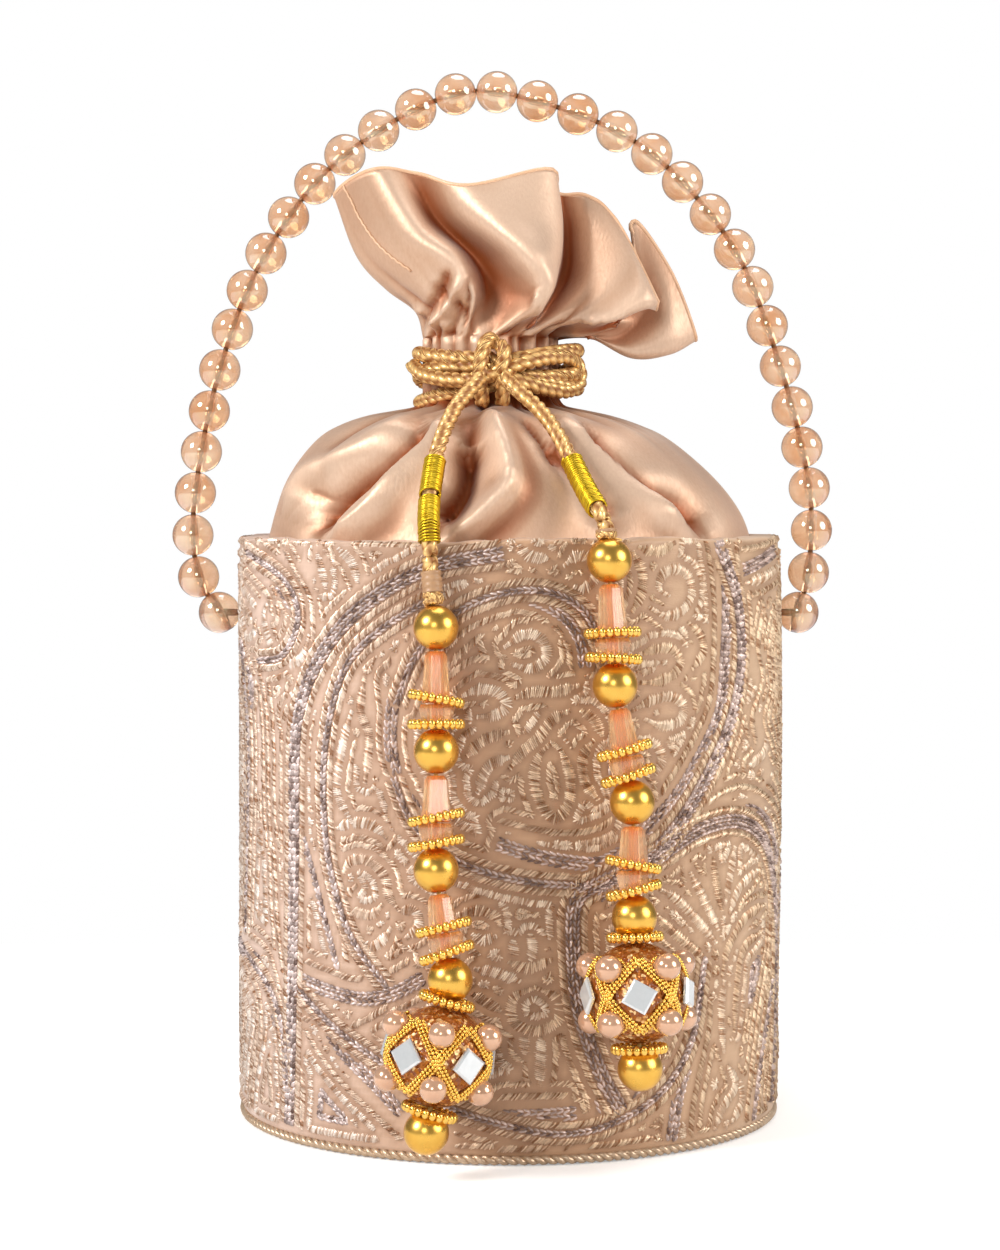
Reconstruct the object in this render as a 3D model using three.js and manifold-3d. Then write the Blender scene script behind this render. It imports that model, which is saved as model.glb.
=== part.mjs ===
// Potli bag: an embroidered drum with a gathered satin top, a tie cord with two bead strands and a beaded handle.
// Millimetres, +Z up. The origin is the middle of the underside, and the front of the bag faces -Y.
import * as THREE from "three";
import { mergeVertices } from "three/addons/utils/BufferGeometryUtils.js";
import Module from "manifold-3d";

// Drum
const drumRadius = 64.8;
const drumHeight = 140;
const coverThickness = 1.3;
const boardThickness = 2;
const liningThickness = 0.8;
const baseBoardThickness = 2.4;
const baseCoverThickness = 1.2;
const layerGap = 0.3;
const cornerAllowance = 0.1;
const rimLipDepth = 10;
const pipingRadius = 1.5;
const drumSides = 48;
const rimRoundShare = 0.3;
const pipingSides = 6;
const pipingRise = 0.1;
const bandWidth = 4.2;
const bandRise = 0.55;
const bandStep = 15;

// Handle
const handlePivotDrop = 19;
const handleRise = 124.4;
const handleBow = 11.6;
const handleBeadDiameter = 10;
const handleBeadPitch = 10.05;
const handleWireRadius = 0.7;
const wireHoleClearance = 0.3;
const wireStopRadius = 2.4;
const wireStopThickness = 0.8;

// Satin pouch
const neckRadius = 17.2;
const neckShiftX = -4.5;
const neckShiftY = -3;
const neckRise = 30;
const neckLength = 16.6;
const clothThickness = 1;
const pouchSewnDepth = 13;
const neckFlare = 3.6;
const neckFillBelow = 7;
const neckFillAbove = 6;
const neckPleats = 15;
const neckPleatDepth = 0.9;

// Tie cord
const cordRadius = 1.8;
const cordTurns = 3;
const cordPitch = 3.9;
const cordStepsPerTurn = 16;
const windingSlack = 0.3;
const knotStrandSpread = 5;
const knotShift = 0.6;
const knotSink = 1.2;
const knotBend = 0.4;
const tailSteps = 16;
const bullionGap = 0.45;
const bullionThickness = 0.4;
const bullionSteps = 6;
const tapeThickness = 0.4;

// Beads of the strands
const goldBallDiameter = 10;
const beadBoreRadius = 1.2;
const threadRadius = 0.5;
const threadEndShare = 0.85;
const beadGap = 0.3;
const coneTopRadius = 2.6;
const coneBaseRadius = 3.4;
const coneShoulder = { width: 0.6, length: 0.8 };
const bellTopRadius = 4.1;
const bellBaseRadius = 3.3;
const bellLength = 5;
const bellShoulder = { width: 0.5, length: 0.9 };
const ringOuterRadius = 6.35;
const ringInnerRadius = 3.85;
const ringThickness = 2;
const ornamentCoreRadius = 11.2;
const ornamentPearlRadius = 3.1;
const ornamentPearlReach = 13.2;
const ornamentPlateSize = 8;
const ornamentPlateRise = 1;
const ornamentSides = 5;
const ornamentPearlLatitude = 29;
const pearlFacets = 6;
const ringFacets = 10;
const facets = 8;

const wasm = await Module();
wasm.setup();

const upAxis = new THREE.Vector3(0, 0, 1);
const vector = (x, y, z) => new THREE.Vector3(x, y, z);
const degrees = (angle) => THREE.MathUtils.degToRad(angle);
const mix = (a, b, share) => a + (b - a) * share;

// A closed geometry as a solid that can be joined and cut.
function solidOf(geometry) {
  const plain = geometry.clone();
  plain.deleteAttribute("normal");
  plain.deleteAttribute("uv");
  const merged = mergeVertices(plain, 1e-4);
  return new wasm.Manifold(
    new wasm.Mesh({
      numProp: 3,
      vertProperties: new Float32Array(merged.attributes.position.array),
      triVerts: new Uint32Array(merged.index.array),
    }),
  );
}

// A joined or cut solid as a geometry again.
function geometryOf(solid) {
  const mesh = solid.getMesh();
  const positions = new Float32Array(mesh.numVert * 3);
  for (let i = 0; i < mesh.numVert; i += 1) {
    const start = i * mesh.numProp;
    positions.set(mesh.vertProperties.subarray(start, start + 3), i * 3);
  }
  const geometry = new THREE.BufferGeometry();
  geometry.setAttribute("position", new THREE.BufferAttribute(positions, 3));
  geometry.setIndex(new THREE.BufferAttribute(new Uint32Array(mesh.triVerts), 1));
  geometry.computeVertexNormals();
  return geometry;
}

function joined(geometries) {
  return geometryOf(geometries.map(solidOf).reduce((whole, next) => whole.add(next)));
}

// A profile of [radius, height] pairs turned about the Z axis. It runs anticlockwise, and closes on itself.
function turned(profile, sides) {
  const points = [...profile, profile[0]].map(([radius, height]) => new THREE.Vector2(radius, height));
  return new THREE.LatheGeometry(points, sides).rotateX(Math.PI / 2);
}

// Like rings of points joined into a skin, with a fan to a middle point at each end.
function lofted(rings, firstMiddle, lastMiddle) {
  const count = rings[0].length;
  const positions = rings.flat().concat([firstMiddle, lastMiddle]).flatMap((p) => [p.x, p.y, p.z]);
  const first = rings.length * count;
  const faces = [];
  for (let i = 0; i < count; i += 1) {
    const next = (i + 1) % count;
    faces.push(first, next, i);
    const top = (rings.length - 1) * count;
    faces.push(first + 1, top + i, top + next);
    for (let row = 0; row + 1 < rings.length; row += 1) {
      const low = row * count;
      const high = low + count;
      faces.push(low + i, low + next, high + next);
      faces.push(low + i, high + next, high + i);
    }
  }
  const geometry = new THREE.BufferGeometry();
  geometry.setAttribute("position", new THREE.Float32BufferAttribute(positions, 3));
  geometry.setIndex(faces);
  geometry.computeVertexNormals();
  return geometry;
}

// A round tube along a smooth curve through the points.
function tube(points, radius, steps, sides, hollowRadius = 0) {
  const section = new THREE.Shape();
  const corner = (r, i) => {
    const angle = (i / sides) * 2 * Math.PI;
    return new THREE.Vector2(r * Math.cos(angle), r * Math.sin(angle));
  };
  section.setFromPoints(Array.from({ length: sides }, (_, i) => corner(radius, i)));
  if (hollowRadius > 0) {
    section.holes.push(new THREE.Path(Array.from({ length: sides }, (_, i) => corner(hollowRadius, i))));
  }
  const path = new THREE.CatmullRomCurve3(points);
  return new THREE.ExtrudeGeometry(section, { steps, extrudePath: path, bevelEnabled: false });
}

const beadRadius = goldBallDiameter / 2;

const materials = {
  embroidery: new THREE.MeshStandardMaterial({ color: 0xd3b99f, roughness: 0.7 }),
  board: new THREE.MeshStandardMaterial({ color: 0x9b8468, roughness: 0.9 }),
  satin: new THREE.MeshStandardMaterial({ color: 0xd9ae8c, roughness: 0.38 }),
  piping: new THREE.MeshStandardMaterial({ color: 0xb5a596, roughness: 0.5, metalness: 0.3 }),
  rope: new THREE.MeshStandardMaterial({ color: 0xd9a860, roughness: 0.5, metalness: 0.4 }),
  bullion: new THREE.MeshStandardMaterial({ color: 0xd6b32e, roughness: 0.35, metalness: 0.8 }),
  tape: new THREE.MeshStandardMaterial({ color: 0xa98a63, roughness: 0.4 }),
  goldBead: new THREE.MeshStandardMaterial({ color: 0xd9a520, roughness: 0.15, metalness: 1 }),
  peachBead: new THREE.MeshStandardMaterial({ color: 0xf0a070, roughness: 0.1 }),
  handleBead: new THREE.MeshStandardMaterial({ color: 0xe0a983, roughness: 0.08 }),
  glitter: new THREE.MeshStandardMaterial({ color: 0xc07a2a, roughness: 0.4, metalness: 0.7 }),
  thread: new THREE.MeshStandardMaterial({ color: 0xcaa15a, roughness: 0.6 }),
};

const bag = new THREE.Group();

function addPiece(name, geometry, material, parent = bag) {
  const mesh = new THREE.Mesh(geometry, material);
  mesh.name = name;
  parent.add(mesh);
  return mesh;
}

// Heights and radii that several pieces share.
const baseCoverTop = baseCoverThickness;
const baseBoardBottom = baseCoverTop + layerGap;
const baseBoardTop = baseBoardBottom + baseBoardThickness;
const coverInnerRadius = drumRadius - coverThickness;
const boardOuterRadius = coverInnerRadius - layerGap;
const boardInnerRadius = boardOuterRadius - boardThickness;
const stopRoom = wireStopThickness + 2 * layerGap;
const liningOuterRadius = boardInnerRadius - stopRoom;
const liningInnerRadius = liningOuterRadius - liningThickness;
const lipOuterRadius = boardInnerRadius - layerGap;
const lipInnerRadius = lipOuterRadius - coverThickness;
const boardTop = drumHeight - coverThickness - layerGap;
const lipBottom = drumHeight - rimLipDepth;
const liningFloor = baseBoardTop + layerGap;
const pipingHeight = pipingRadius + pipingRise;
const pipingRingRadius = drumRadius + bandRise - pipingRadius;
const baseRadius = pipingRingRadius - pipingRadius - layerGap;
const coverBottom = pipingHeight + pipingRadius + layerGap;
const pivotHeight = drumHeight - handlePivotDrop;

// Raised bands of the embroidery, as points of [degrees round the drum from the front, height].
// They are drawn for a drum of this height, and follow it.
const bandDrawingHeight = 140;
const frontBands = [
  [[-1.8, 137], [-13.9, 134.4], [-35.2, 120.6], [-47.4, 100.6], [-49.3, 68.2], [-50.7, 22], [-51.2, 7]],
  [[-15.5, 126.8], [-33.9, 112.3], [-40.5, 87.4], [-37.5, 60.3], [-25.6, 39.8]],
  [[-22.7, 103.7], [-12.8, 121.9], [6.2, 128.7], [18.9, 115.5]],
  [[-23.4, 86.1], [-13.9, 70.8], [4.2, 63.9], [13.3, 62.7]],
  [[48.7, 136.5], [54.8, 111.6], [44.3, 87.1], [18.4, 63.4], [12.6, 48.4], [22.7, 12.9]],
  [[-46, 34.5], [-26.8, 22.4], [-5, 9.6], [13, 6.8], [31.9, 14.8], [43.1, 43.7]],
  [[24, 64], [42.5, 74], [60, 73], [74.5, 53], [74.5, 10]],
  [[-71.2, 136], [-53, 130], [-48, 120.1], [-63.4, 111]],
  [[-75.1, 41.3], [-60.3, 35.5], [-56, 12.5]],
];

const repeatedBands = 5;

function wallPoint(turn, height, radius) {
  return vector(radius * Math.sin(turn), -radius * Math.cos(turn), height);
}

// One raised band: a low ridge that is rooted in the cover and follows the drawn line round the drum.
function embroideredBand(points, turnShift) {
  const flat = points.map(([angle, height]) => {
    const along = degrees(angle + turnShift) * drumRadius;
    return new THREE.Vector2(along, (height * drumHeight) / bandDrawingHeight);
  });
  const line = new THREE.SplineCurve(flat);
  const steps = Math.ceil(line.getLength() / bandStep);
  const rootRadius = drumRadius - coverThickness / 2;
  const rings = [];
  for (let i = 0; i <= steps; i += 1) {
    const point = line.getPointAt(i / steps);
    const tangent = line.getTangentAt(i / steps);
    const side = new THREE.Vector2(-tangent.y, tangent.x);
    const at = (offset, radius) => {
      const along = point.x + side.x * offset;
      return wallPoint(along / drumRadius, point.y + side.y * offset, radius);
    };
    rings.push([
      at(bandWidth / 2, rootRadius),
      at(bandWidth / 3, drumRadius + bandRise),
      at(-bandWidth / 3, drumRadius + bandRise),
      at(-bandWidth / 2, rootRadius),
    ]);
  }
  const middleOf = (ring) => {
    const sum = ring.reduce((total, p) => total.clone().add(p), vector(0, 0, 0));
    return sum.divideScalar(ring.length);
  };
  return lofted(rings, middleOf(rings[0]), middleOf(rings[rings.length - 1]));
}

// A round hole along X through both sides of the drum, for the handle wire.
function wireHole() {
  const radius = handleWireRadius + wireHoleClearance;
  const hole = new THREE.CylinderGeometry(radius, radius, 3 * drumRadius, facets);
  return hole.rotateZ(Math.PI / 2).translate(0, 0, pivotHeight);
}

function drumCover() {
  const edge = coverThickness;
  const rounding = edge * rimRoundShare;
  const profile = [
    [coverInnerRadius, coverBottom],
    [drumRadius, coverBottom],
    [drumRadius, drumHeight - edge],
    [drumRadius - rounding, drumHeight - rounding],
    [drumRadius - edge, drumHeight],
    [lipInnerRadius + edge, drumHeight],
    [lipInnerRadius + rounding, drumHeight - rounding],
    [lipInnerRadius, drumHeight - edge],
    [lipInnerRadius, lipBottom],
    [lipOuterRadius, lipBottom],
    [lipOuterRadius, drumHeight - edge],
    [coverInnerRadius, drumHeight - edge],
  ];
  let cover = solidOf(turned(profile, drumSides));
  frontBands.forEach((points, i) => {
    cover = cover.add(solidOf(embroideredBand(points, 0)));
    if (i < repeatedBands) {
      cover = cover.add(solidOf(embroideredBand(points, 180)));
    }
  });
  return geometryOf(cover.subtract(solidOf(wireHole())));
}

function drumBoard() {
  const profile = [
    [boardInnerRadius, liningFloor],
    [boardOuterRadius, liningFloor],
    [boardOuterRadius, boardTop],
    [boardInnerRadius, boardTop],
  ];
  return geometryOf(solidOf(turned(profile, drumSides)).subtract(solidOf(wireHole())));
}

function disc(radius, bottom, top) {
  const thickness = top - bottom;
  const geometry = new THREE.CylinderGeometry(radius, radius, thickness, drumSides);
  return geometry.rotateX(Math.PI / 2).translate(0, 0, bottom + thickness / 2);
}

function drumLining() {
  const floorTop = liningFloor + liningThickness;
  const wallTop = lipBottom - layerGap;
  const points = [
    [0, liningFloor],
    [liningOuterRadius, liningFloor],
    [liningOuterRadius, wallTop],
    [liningInnerRadius, wallTop],
    [liningInnerRadius, floorTop],
    [0, floorTop],
  ].map(([radius, height]) => new THREE.Vector2(radius, height));
  return new THREE.LatheGeometry(points, drumSides).rotateX(Math.PI / 2);
}

function bottomPiping() {
  return new THREE.TorusGeometry(pipingRingRadius, pipingRadius, pipingSides, drumSides).translate(0, 0, pipingHeight);
}

function buildDrum() {
  addPiece("embroidered_cover", drumCover(), materials.embroidery);
  addPiece("board_wall", drumBoard(), materials.board);
  addPiece("base_board", disc(baseRadius, baseBoardBottom, baseBoardTop), materials.board);
  addPiece("base_cover", disc(baseRadius, 0, baseCoverTop), materials.satin);
  addPiece("satin_lining", drumLining(), materials.satin);
  addPiece("bottom_piping", bottomPiping(), materials.piping);
}

// The handle: an arch through these points, each a share of the half width and of the rise above the pivots.
const archShares = [
  [-0.985, 0.075],
  [-0.995, 0.215],
  [-0.92, 0.455],
  [-0.78, 0.68],
  [-0.543, 0.871],
  [-0.195, 0.997],
  [0.08, 0.99],
  [0.427, 0.898],
  [0.7, 0.715],
  [0.85, 0.493],
  [0.948, 0.256],
  [0.953, 0.095],
];

function handleCurve() {
  const beadSeat = drumRadius + handleBeadDiameter / 2 + layerGap;
  const halfWidth = drumRadius + handleBow;
  const arch = archShares.map(([across, up]) => vector(across * halfWidth, 0, pivotHeight + up * handleRise));
  return [vector(-beadSeat, 0, pivotHeight), ...arch, vector(beadSeat, 0, pivotHeight)];
}

function wireStop(side) {
  const stop = new THREE.CylinderGeometry(wireStopRadius, wireStopRadius, wireStopThickness, facets);
  const reach = liningOuterRadius + layerGap + wireStopThickness / 2;
  return stop.rotateZ(Math.PI / 2).translate(side * reach, 0, pivotHeight);
}

function straightWire(side) {
  const inner = liningOuterRadius + layerGap + wireStopThickness / 2;
  const outer = drumRadius + handleBeadDiameter / 2 + layerGap;
  const wire = new THREE.CylinderGeometry(handleWireRadius, handleWireRadius, outer - inner, facets);
  return wire.rotateZ(Math.PI / 2).translate((side * (inner + outer)) / 2, 0, pivotHeight);
}

// Rings round the handle's path for one bead: share of its half length and share of its radius.
const beadRings = [
  [-1, 0],
  [-0.7, 0.74],
  [0, 1],
  [0.7, 0.74],
];

// The beads are strung so close that they read as one chain. Beads, wire and stops turn together as one piece.
function buildHandle() {
  const path = new THREE.CatmullRomCurve3(handleCurve());
  const beadCount = Math.round(path.getLength() / handleBeadPitch) + 1;
  const pitchShare = 1 / (beadCount - 1);
  const radius = handleBeadDiameter / 2;
  const depth = vector(0, 1, 0);
  const ringAt = (share, size) => {
    const inside = THREE.MathUtils.clamp(share, 0, 1);
    const tangent = path.getTangentAt(inside);
    const place = path.getPointAt(inside).addScaledVector(tangent, (share - inside) * path.getLength());
    const side = depth.clone().cross(tangent).normalize();
    return Array.from({ length: facets }, (_, i) => {
      const angle = (i / facets) * 2 * Math.PI;
      const point = place.clone().addScaledVector(side, size * Math.cos(angle));
      return point.addScaledVector(depth, size * Math.sin(angle));
    });
  };
  const rings = [];
  for (let i = 0; i < beadCount; i += 1) {
    for (const [along, share] of beadRings) {
      rings.push(ringAt((i + along / 2) * pitchShare, Math.max(handleWireRadius, share * radius)));
    }
  }
  rings.push(ringAt(1 + pitchShare / 2, handleWireRadius));
  const start = path.getPointAt(0).addScaledVector(path.getTangentAt(0), -radius);
  const end = path.getPointAt(1).addScaledVector(path.getTangentAt(1), radius);
  const pieces = [lofted(rings, start, end)];
  for (const side of [-1, 1]) {
    pieces.push(wireStop(side), straightWire(side));
  }
  addPiece("beaded_handle", joined(pieces), materials.handleBead);
}

// The satin from its sewn edge inside the rim up to the neck: height above the rim and radius.
const pouchEdgeRadius = liningInnerRadius - layerGap - cornerAllowance;
const neckBottom = drumHeight + neckRise;
const neckTop = neckBottom + neckLength;
const domeRows = [
  [-pouchSewnDepth, 1],
  [-5, 0.995],
  [0.5, 0.975],
  [6, 0.94],
  [12, 0.88],
  [18, 0.795],
  [23, 0.7],
  [26, 0.6],
  [28, 0.5],
];

// Ribs of the frill: turn about the neck in degrees, then places from a quarter of the way up to the hem.
const frillRibs = [
  [-165, [-9, 17, 194], [-10, 20, 200], [-12, 22.5, 206], [-14, 24, 211]],
  [-135, [-18, 12, 194], [-22, 15, 201], [-26, 17, 207], [-29, 18, 213]],
  [-105, [-21.5, 1.5, 194], [-28, 2, 200.5], [-34, 3, 208], [-38, 4, 218]],
  [-75, [-21.5, -9, 193], [-28.5, -8, 199], [-35.5, -6, 207], [-41, -4, 221.5]],
  [-45, [-16, -18, 194], [-22, -18, 201], [-30, -14.5, 210], [-37.5, -9, 224.5]],
  [-22, [-8.5, -22, 196], [-13, -22.5, 205], [-22, -19, 212], [-31, -13, 226.3]],
  [-9, [-4.5, -17, 197], [-7.5, -15, 205], [-17, -13.5, 215], [-22, -12.5, 226.3]],
  [4, [6.5, -24.5, 196], [4, -25.5, 205], [-4, -22, 216], [-9, -17, 224.5]],
  [14, [9.5, -23.5, 195.5], [11, -21.5, 204], [11.5, -18, 214], [9.5, -15, 226.3]],
  [20, [9.5, -16, 194.5], [14, -11, 202], [15.5, -8, 212], [14, -7, 222.5]],
  [34, [13, -17.5, 193], [19.5, -16, 200.5], [21, -12, 210], [18.5, -8, 220.7]],
  [48, [15, -18.5, 191], [24, -19, 196.5], [29, -16, 204], [25.3, -9, 214.6]],
  [56, [16, -17.5, 189.5], [25, -19.5, 191.5], [31.5, -18.5, 195], [34.5, -16, 195]],
  [62, [16.5, -12, 188.7], [23, -10, 191], [29, -8, 197], [31, -7, 206]],
  [70, [18, -8, 187.9], [27, -5, 189], [33.5, -4, 197], [30.5, -3, 215]],
  [80, [18.5, -7, 187.9], [29, -6, 185], [38, -4, 190], [39, -2, 203]],
  [88, [19, -5, 187.7], [29.5, -3.5, 183.5], [38.5, -2.5, 184], [44.7, -1, 187.4]],
  [102, [19, 2, 188], [29.5, 5, 187], [38, 7, 190.5], [40, 8, 197]],
  [122, [16.5, 8.5, 190], [26, 12, 194], [33, 13, 199], [35, 13, 205]],
  [147, [10, 16, 192], [15, 20, 199], [19, 22, 206], [21, 22, 211]],
  [172, [0, 18, 194], [2, 22, 200], [4, 24, 206], [4, 25, 211]],
];
const ribSpacing = 8;

// Folds pressed into the front or the back of the satin: a line of [x, height above the rim] points, half width, depth.
const frontFolds = [
  { line: [[-5, 28], [0, 13], [-6, 5], [-14, -1]], width: 3.6, depth: 3 },
  { line: [[-9, 22], [-11, 12], [-16, 4]], width: 4.4, depth: -4.2 },
  { line: [[-12, 27], [-23, 17], [-30, 7], [-40, -1]], width: 4.5, depth: 2.6 },
  { line: [[-17, 25], [-27, 17], [-37, 11], [-44, 2]], width: 3.6, depth: -3.2 },
  { line: [[-20, 28], [-33, 20], [-47, 14], [-52, 4]], width: 4.5, depth: 1.6 },
  { line: [[9, 24], [17, 14], [23, 4]], width: 4, depth: -2.2 },
  { line: [[8, 28], [22, 19], [31, 10], [38, 1]], width: 4.5, depth: 2.4 },
  { line: [[16, 26], [30, 13], [41, 8], [46, 0]], width: 4, depth: -2.8 },
];
const backFolds = [
  { line: [[4, 28], [2, 14], [8, 2]], width: 4, depth: 2.6 },
  { line: [[10, 26], [16, 14], [24, 2]], width: 4, depth: -3 },
  { line: [[-8, 27], [-18, 15], [-24, 2]], width: 4.4, depth: -3 },
  { line: [[-14, 28], [-32, 16], [-42, 2]], width: 4.4, depth: 2.4 },
  { line: [[22, 27], [36, 14], [44, 2]], width: 4.4, depth: 2.2 },
  { line: [[-20, 66], [-10, 54], [-6, 47]], width: 4.4, depth: -3.6 },
  { line: [[14, 70], [6, 56], [0, 47]], width: 4.4, depth: -3.6 },
];

function distanceToLine(x, height, line) {
  let nearest = Infinity;
  for (let i = 0; i + 1 < line.length; i += 1) {
    const [ax, az] = line[i];
    const [bx, bz] = line[i + 1];
    const along = ((x - ax) * (bx - ax) + (height - az) * (bz - az)) / ((bx - ax) ** 2 + (bz - az) ** 2);
    const share = THREE.MathUtils.clamp(along, 0, 1);
    nearest = Math.min(nearest, Math.hypot(x - mix(ax, bx, share), height - mix(az, bz, share)));
  }
  return nearest;
}

function foldDepth(point, facing) {
  const folds = facing > 0 ? frontFolds : backFolds;
  const height = point.z - drumHeight;
  const total = folds.reduce((sum, fold) => {
    const distance = distanceToLine(point.x, height, fold.line);
    return sum + fold.depth * Math.exp(-((distance / fold.width) ** 2));
  }, 0);
  return total * THREE.MathUtils.smoothstep(Math.abs(facing), 0.05, 0.6);
}

// Turns of the satin's columns: one on each rib of the frill, and more where ribs are far apart.
function columnTurns() {
  return frillRibs.flatMap(([from], i) => {
    const to = i + 1 < frillRibs.length ? frillRibs[i + 1][0] : frillRibs[0][0] + 360;
    const parts = Math.ceil((to - from) / ribSpacing);
    return Array.from({ length: parts }, (_, k) => degrees(mix(from, to, k / parts)));
  });
}

const pouchTurns = columnTurns();

// One ring of the satin's outer face below the neck, or at the neck.
function domeRing([rise, share]) {
  const shift = THREE.MathUtils.smoothstep(rise, 0, neckRise);
  return pouchTurns.map((turn) => {
    const point = wallPoint(turn, drumHeight + rise, share * pouchEdgeRadius);
    point.x += neckShiftX * shift;
    point.y += neckShiftY * shift;
    return point;
  });
}

function neckRing(height, radius, pleatDepth) {
  return pouchTurns.map((turn) => {
    const pleat = pleatDepth * (Math.cos(turn * neckPleats) - 1) * 0.5;
    const point = wallPoint(turn, height, radius + pleat);
    point.x += neckShiftX;
    point.y += neckShiftY;
    return point;
  });
}

// A smooth step from the second value to the third, with their neighbours.
function between([a, b, c, d], share) {
  const bend = (c - a) * share + (2 * a - 5 * b + 4 * c - d) * share ** 2 + (3 * b - a - 3 * c + d) * share ** 3;
  return b + bend / 2;
}

function betweenPlaces(places, share) {
  const axes = ["x", "y", "z"];
  return vector(...axes.map((axis) => between(places.map((place) => place[axis]), share)));
}

// The places drawn for the ribs, smooth between neighbours, at one turn about the neck.
function ribAt(turnDegrees) {
  const count = frillRibs.length;
  const above = frillRibs.filter(([turn]) => turn <= turnDegrees).length;
  const near = [above - 2, above - 1, above, above + 1].map((i) => {
    const [turn, ...places] = frillRibs[((i % count) + count) % count];
    return { turn: turn + 360 * Math.floor(i / count), places };
  });
  const share = (turnDegrees - near[1].turn) / (near[2].turn - near[1].turn);
  return near[1].places.map((_, station) => {
    const drawn = near.map(({ places }) => vector(...places[station]));
    return betweenPlaces(drawn, share);
  });
}

// Rows of the frill, as shares of the way from the neck to the hem.
const frillRows = [0.14, 0.25, 0.42, 0.6, 0.8, 1];

function frillRing(share) {
  return pouchTurns.map((turn) => {
    const foot = wallPoint(turn, neckTop, neckRadius).add(vector(neckShiftX, neckShiftY, 0));
    const rib = ribAt(THREE.MathUtils.radToDeg(turn));
    const steps = rib.length;
    const beyond = rib[steps - 1].clone().multiplyScalar(2).sub(rib[steps - 2]);
    const under = foot.clone().addScaledVector(upAxis, -neckFillBelow / 2);
    const stations = [under, foot, ...rib, beyond];
    const step = Math.min(Math.floor(share * steps), steps - 1);
    return betweenPlaces(stations.slice(step, step + 4), share * steps - step);
  });
}

// Outward directions of a stack of rings, from the slopes between neighbours.
function outwardOf(rings) {
  return rings.map((ring, row) => {
    const below = rings[Math.max(row - 1, 0)];
    const above = rings[Math.min(row + 1, rings.length - 1)];
    return ring.map((_, i) => {
      const count = ring.length;
      const across = ring[(i + 1) % count].clone().sub(ring[(i + count - 1) % count]);
      const up = above[i].clone().sub(below[i]);
      return across.cross(up).normalize();
    });
  });
}

function pouchGeometry() {
  const dome = domeRows.map(domeRing);
  const neck = [
    neckRing(neckBottom - 1, neckRadius + neckFlare, 0),
    neckRing(neckBottom + 0.4, neckRadius, neckPleatDepth),
    neckRing(neckBottom + neckLength / 2, neckRadius, neckPleatDepth),
    neckRing(neckTop, neckRadius, neckPleatDepth),
  ];
  const frill = frillRows.map(frillRing);
  const base = [...dome, ...neck, ...frill];
  const outward = outwardOf(base);
  const isNeck = (row) => row >= dome.length && row < dome.length + neck.length;
  const sewnRows = 3;
  const outer = base.map((ring, row) => {
    if (row < sewnRows || isNeck(row)) {
      return ring;
    }
    const directions = outward[row];
    return ring.map((point, i) => point.clone().addScaledVector(directions[i], foldDepth(point, -directions[i].y)));
  });
  const facing = outwardOf(outer);
  const behind = (row) => outer[row].map((point, i) => point.clone().addScaledVector(facing[row][i], -clothThickness));
  const inside = (first, last) => Array.from({ length: last - first }, (_, i) => behind(last - 1 - i));
  const domeInside = inside(0, dome.length - 1);
  const frillInside = inside(dome.length + neck.length + 1, outer.length);
  const middle = (height) => vector(neckShiftX, neckShiftY, height);
  const under = middle(neckBottom - neckFillBelow);
  const over = middle(neckTop + neckFillAbove);
  return lofted([...domeInside, ...outer, ...frillInside], under, over);
}

// The tie cord: turns round the neck, and two strands of the knot that cross them in front.
function neckCord() {
  const windingRadius = neckRadius + layerGap + cordRadius + windingSlack;
  const windingBottom = neckBottom + 3 * layerGap + cordRadius;
  const steps = cordTurns * cordStepsPerTurn;
  const points = [];
  for (let i = 0; i <= steps; i += 1) {
    const turns = i / cordStepsPerTurn;
    const point = wallPoint((turns * 2 + 1) * Math.PI, windingBottom + turns * cordPitch, windingRadius);
    point.x += neckShiftX;
    point.y += neckShiftY;
    points.push(point);
  }
  const pieces = [tube(points, cordRadius, steps, facets)];
  const knotY = neckShiftY - (windingRadius + 2 * cordRadius - knotSink);
  for (const side of [-1, 1]) {
    const x = neckShiftX + knotShift + (side * knotStrandSpread) / 2;
    const bend = side * knotBend;
    const top = windingBottom + cordPitch * cordTurns;
    const strand = [
      vector(x, knotY, windingBottom - knotBend),
      vector(x + bend, knotY - knotBend, (windingBottom + top) / 2),
      vector(x - bend, knotY + knotBend, top),
    ];
    pieces.push(tube(strand, cordRadius, cordTurns, facets));
  }
  return joined(pieces);
}

// The free tails of the tie cord, over the satin and the rim.
const leftTail = [
  [-6.8, -28.15, 176.8],
  [-9, -33.2, 173.9],
  [-12, -38.5, 170.2],
  [-14.4, -44.5, 165.2],
  [-16.4, -50.5, 159],
  [-17.5, -56, 152],
  [-17.9, -61.5, 146.6],
  [-17.8, -66, 142.6],
  [-17.6, -67.6, 139],
  [-17.5, -67.7, 136.95],
];
const rightTail = [
  [-1.1, -28.15, 176.8],
  [2, -33.4, 173.8],
  [6.6, -38.8, 169.6],
  [10.4, -44.5, 164.6],
  [13.8, -50.5, 158],
  [16.8, -56.5, 151.6],
  [19, -62, 147.6],
  [20.2, -65, 146],
  [20.7, -65.95, 144.3],
];

// Shares of the tails' length that bullion wire is wound round.
const leftBullion = { upper: [0.54, 0.72], lower: [0.74, 0.955] };
const rightBullion = [0.6, 0.93];

// Bullion wire wound tightly round a stretch of a tail, from one share of its length to another.
function buildBullion(name, tail, [from, to]) {
  const curve = new THREE.CatmullRomCurve3(tail);
  const stations = Array.from({ length: bullionSteps + 1 }, (_, i) => mix(from, to, i / bullionSteps));
  const points = stations.map((share) => curve.getPointAt(share));
  const inner = cordRadius + bullionGap;
  addPiece(name, tube(points, inner + bullionThickness, bullionSteps, facets, inner), materials.bullion);
}

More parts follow.
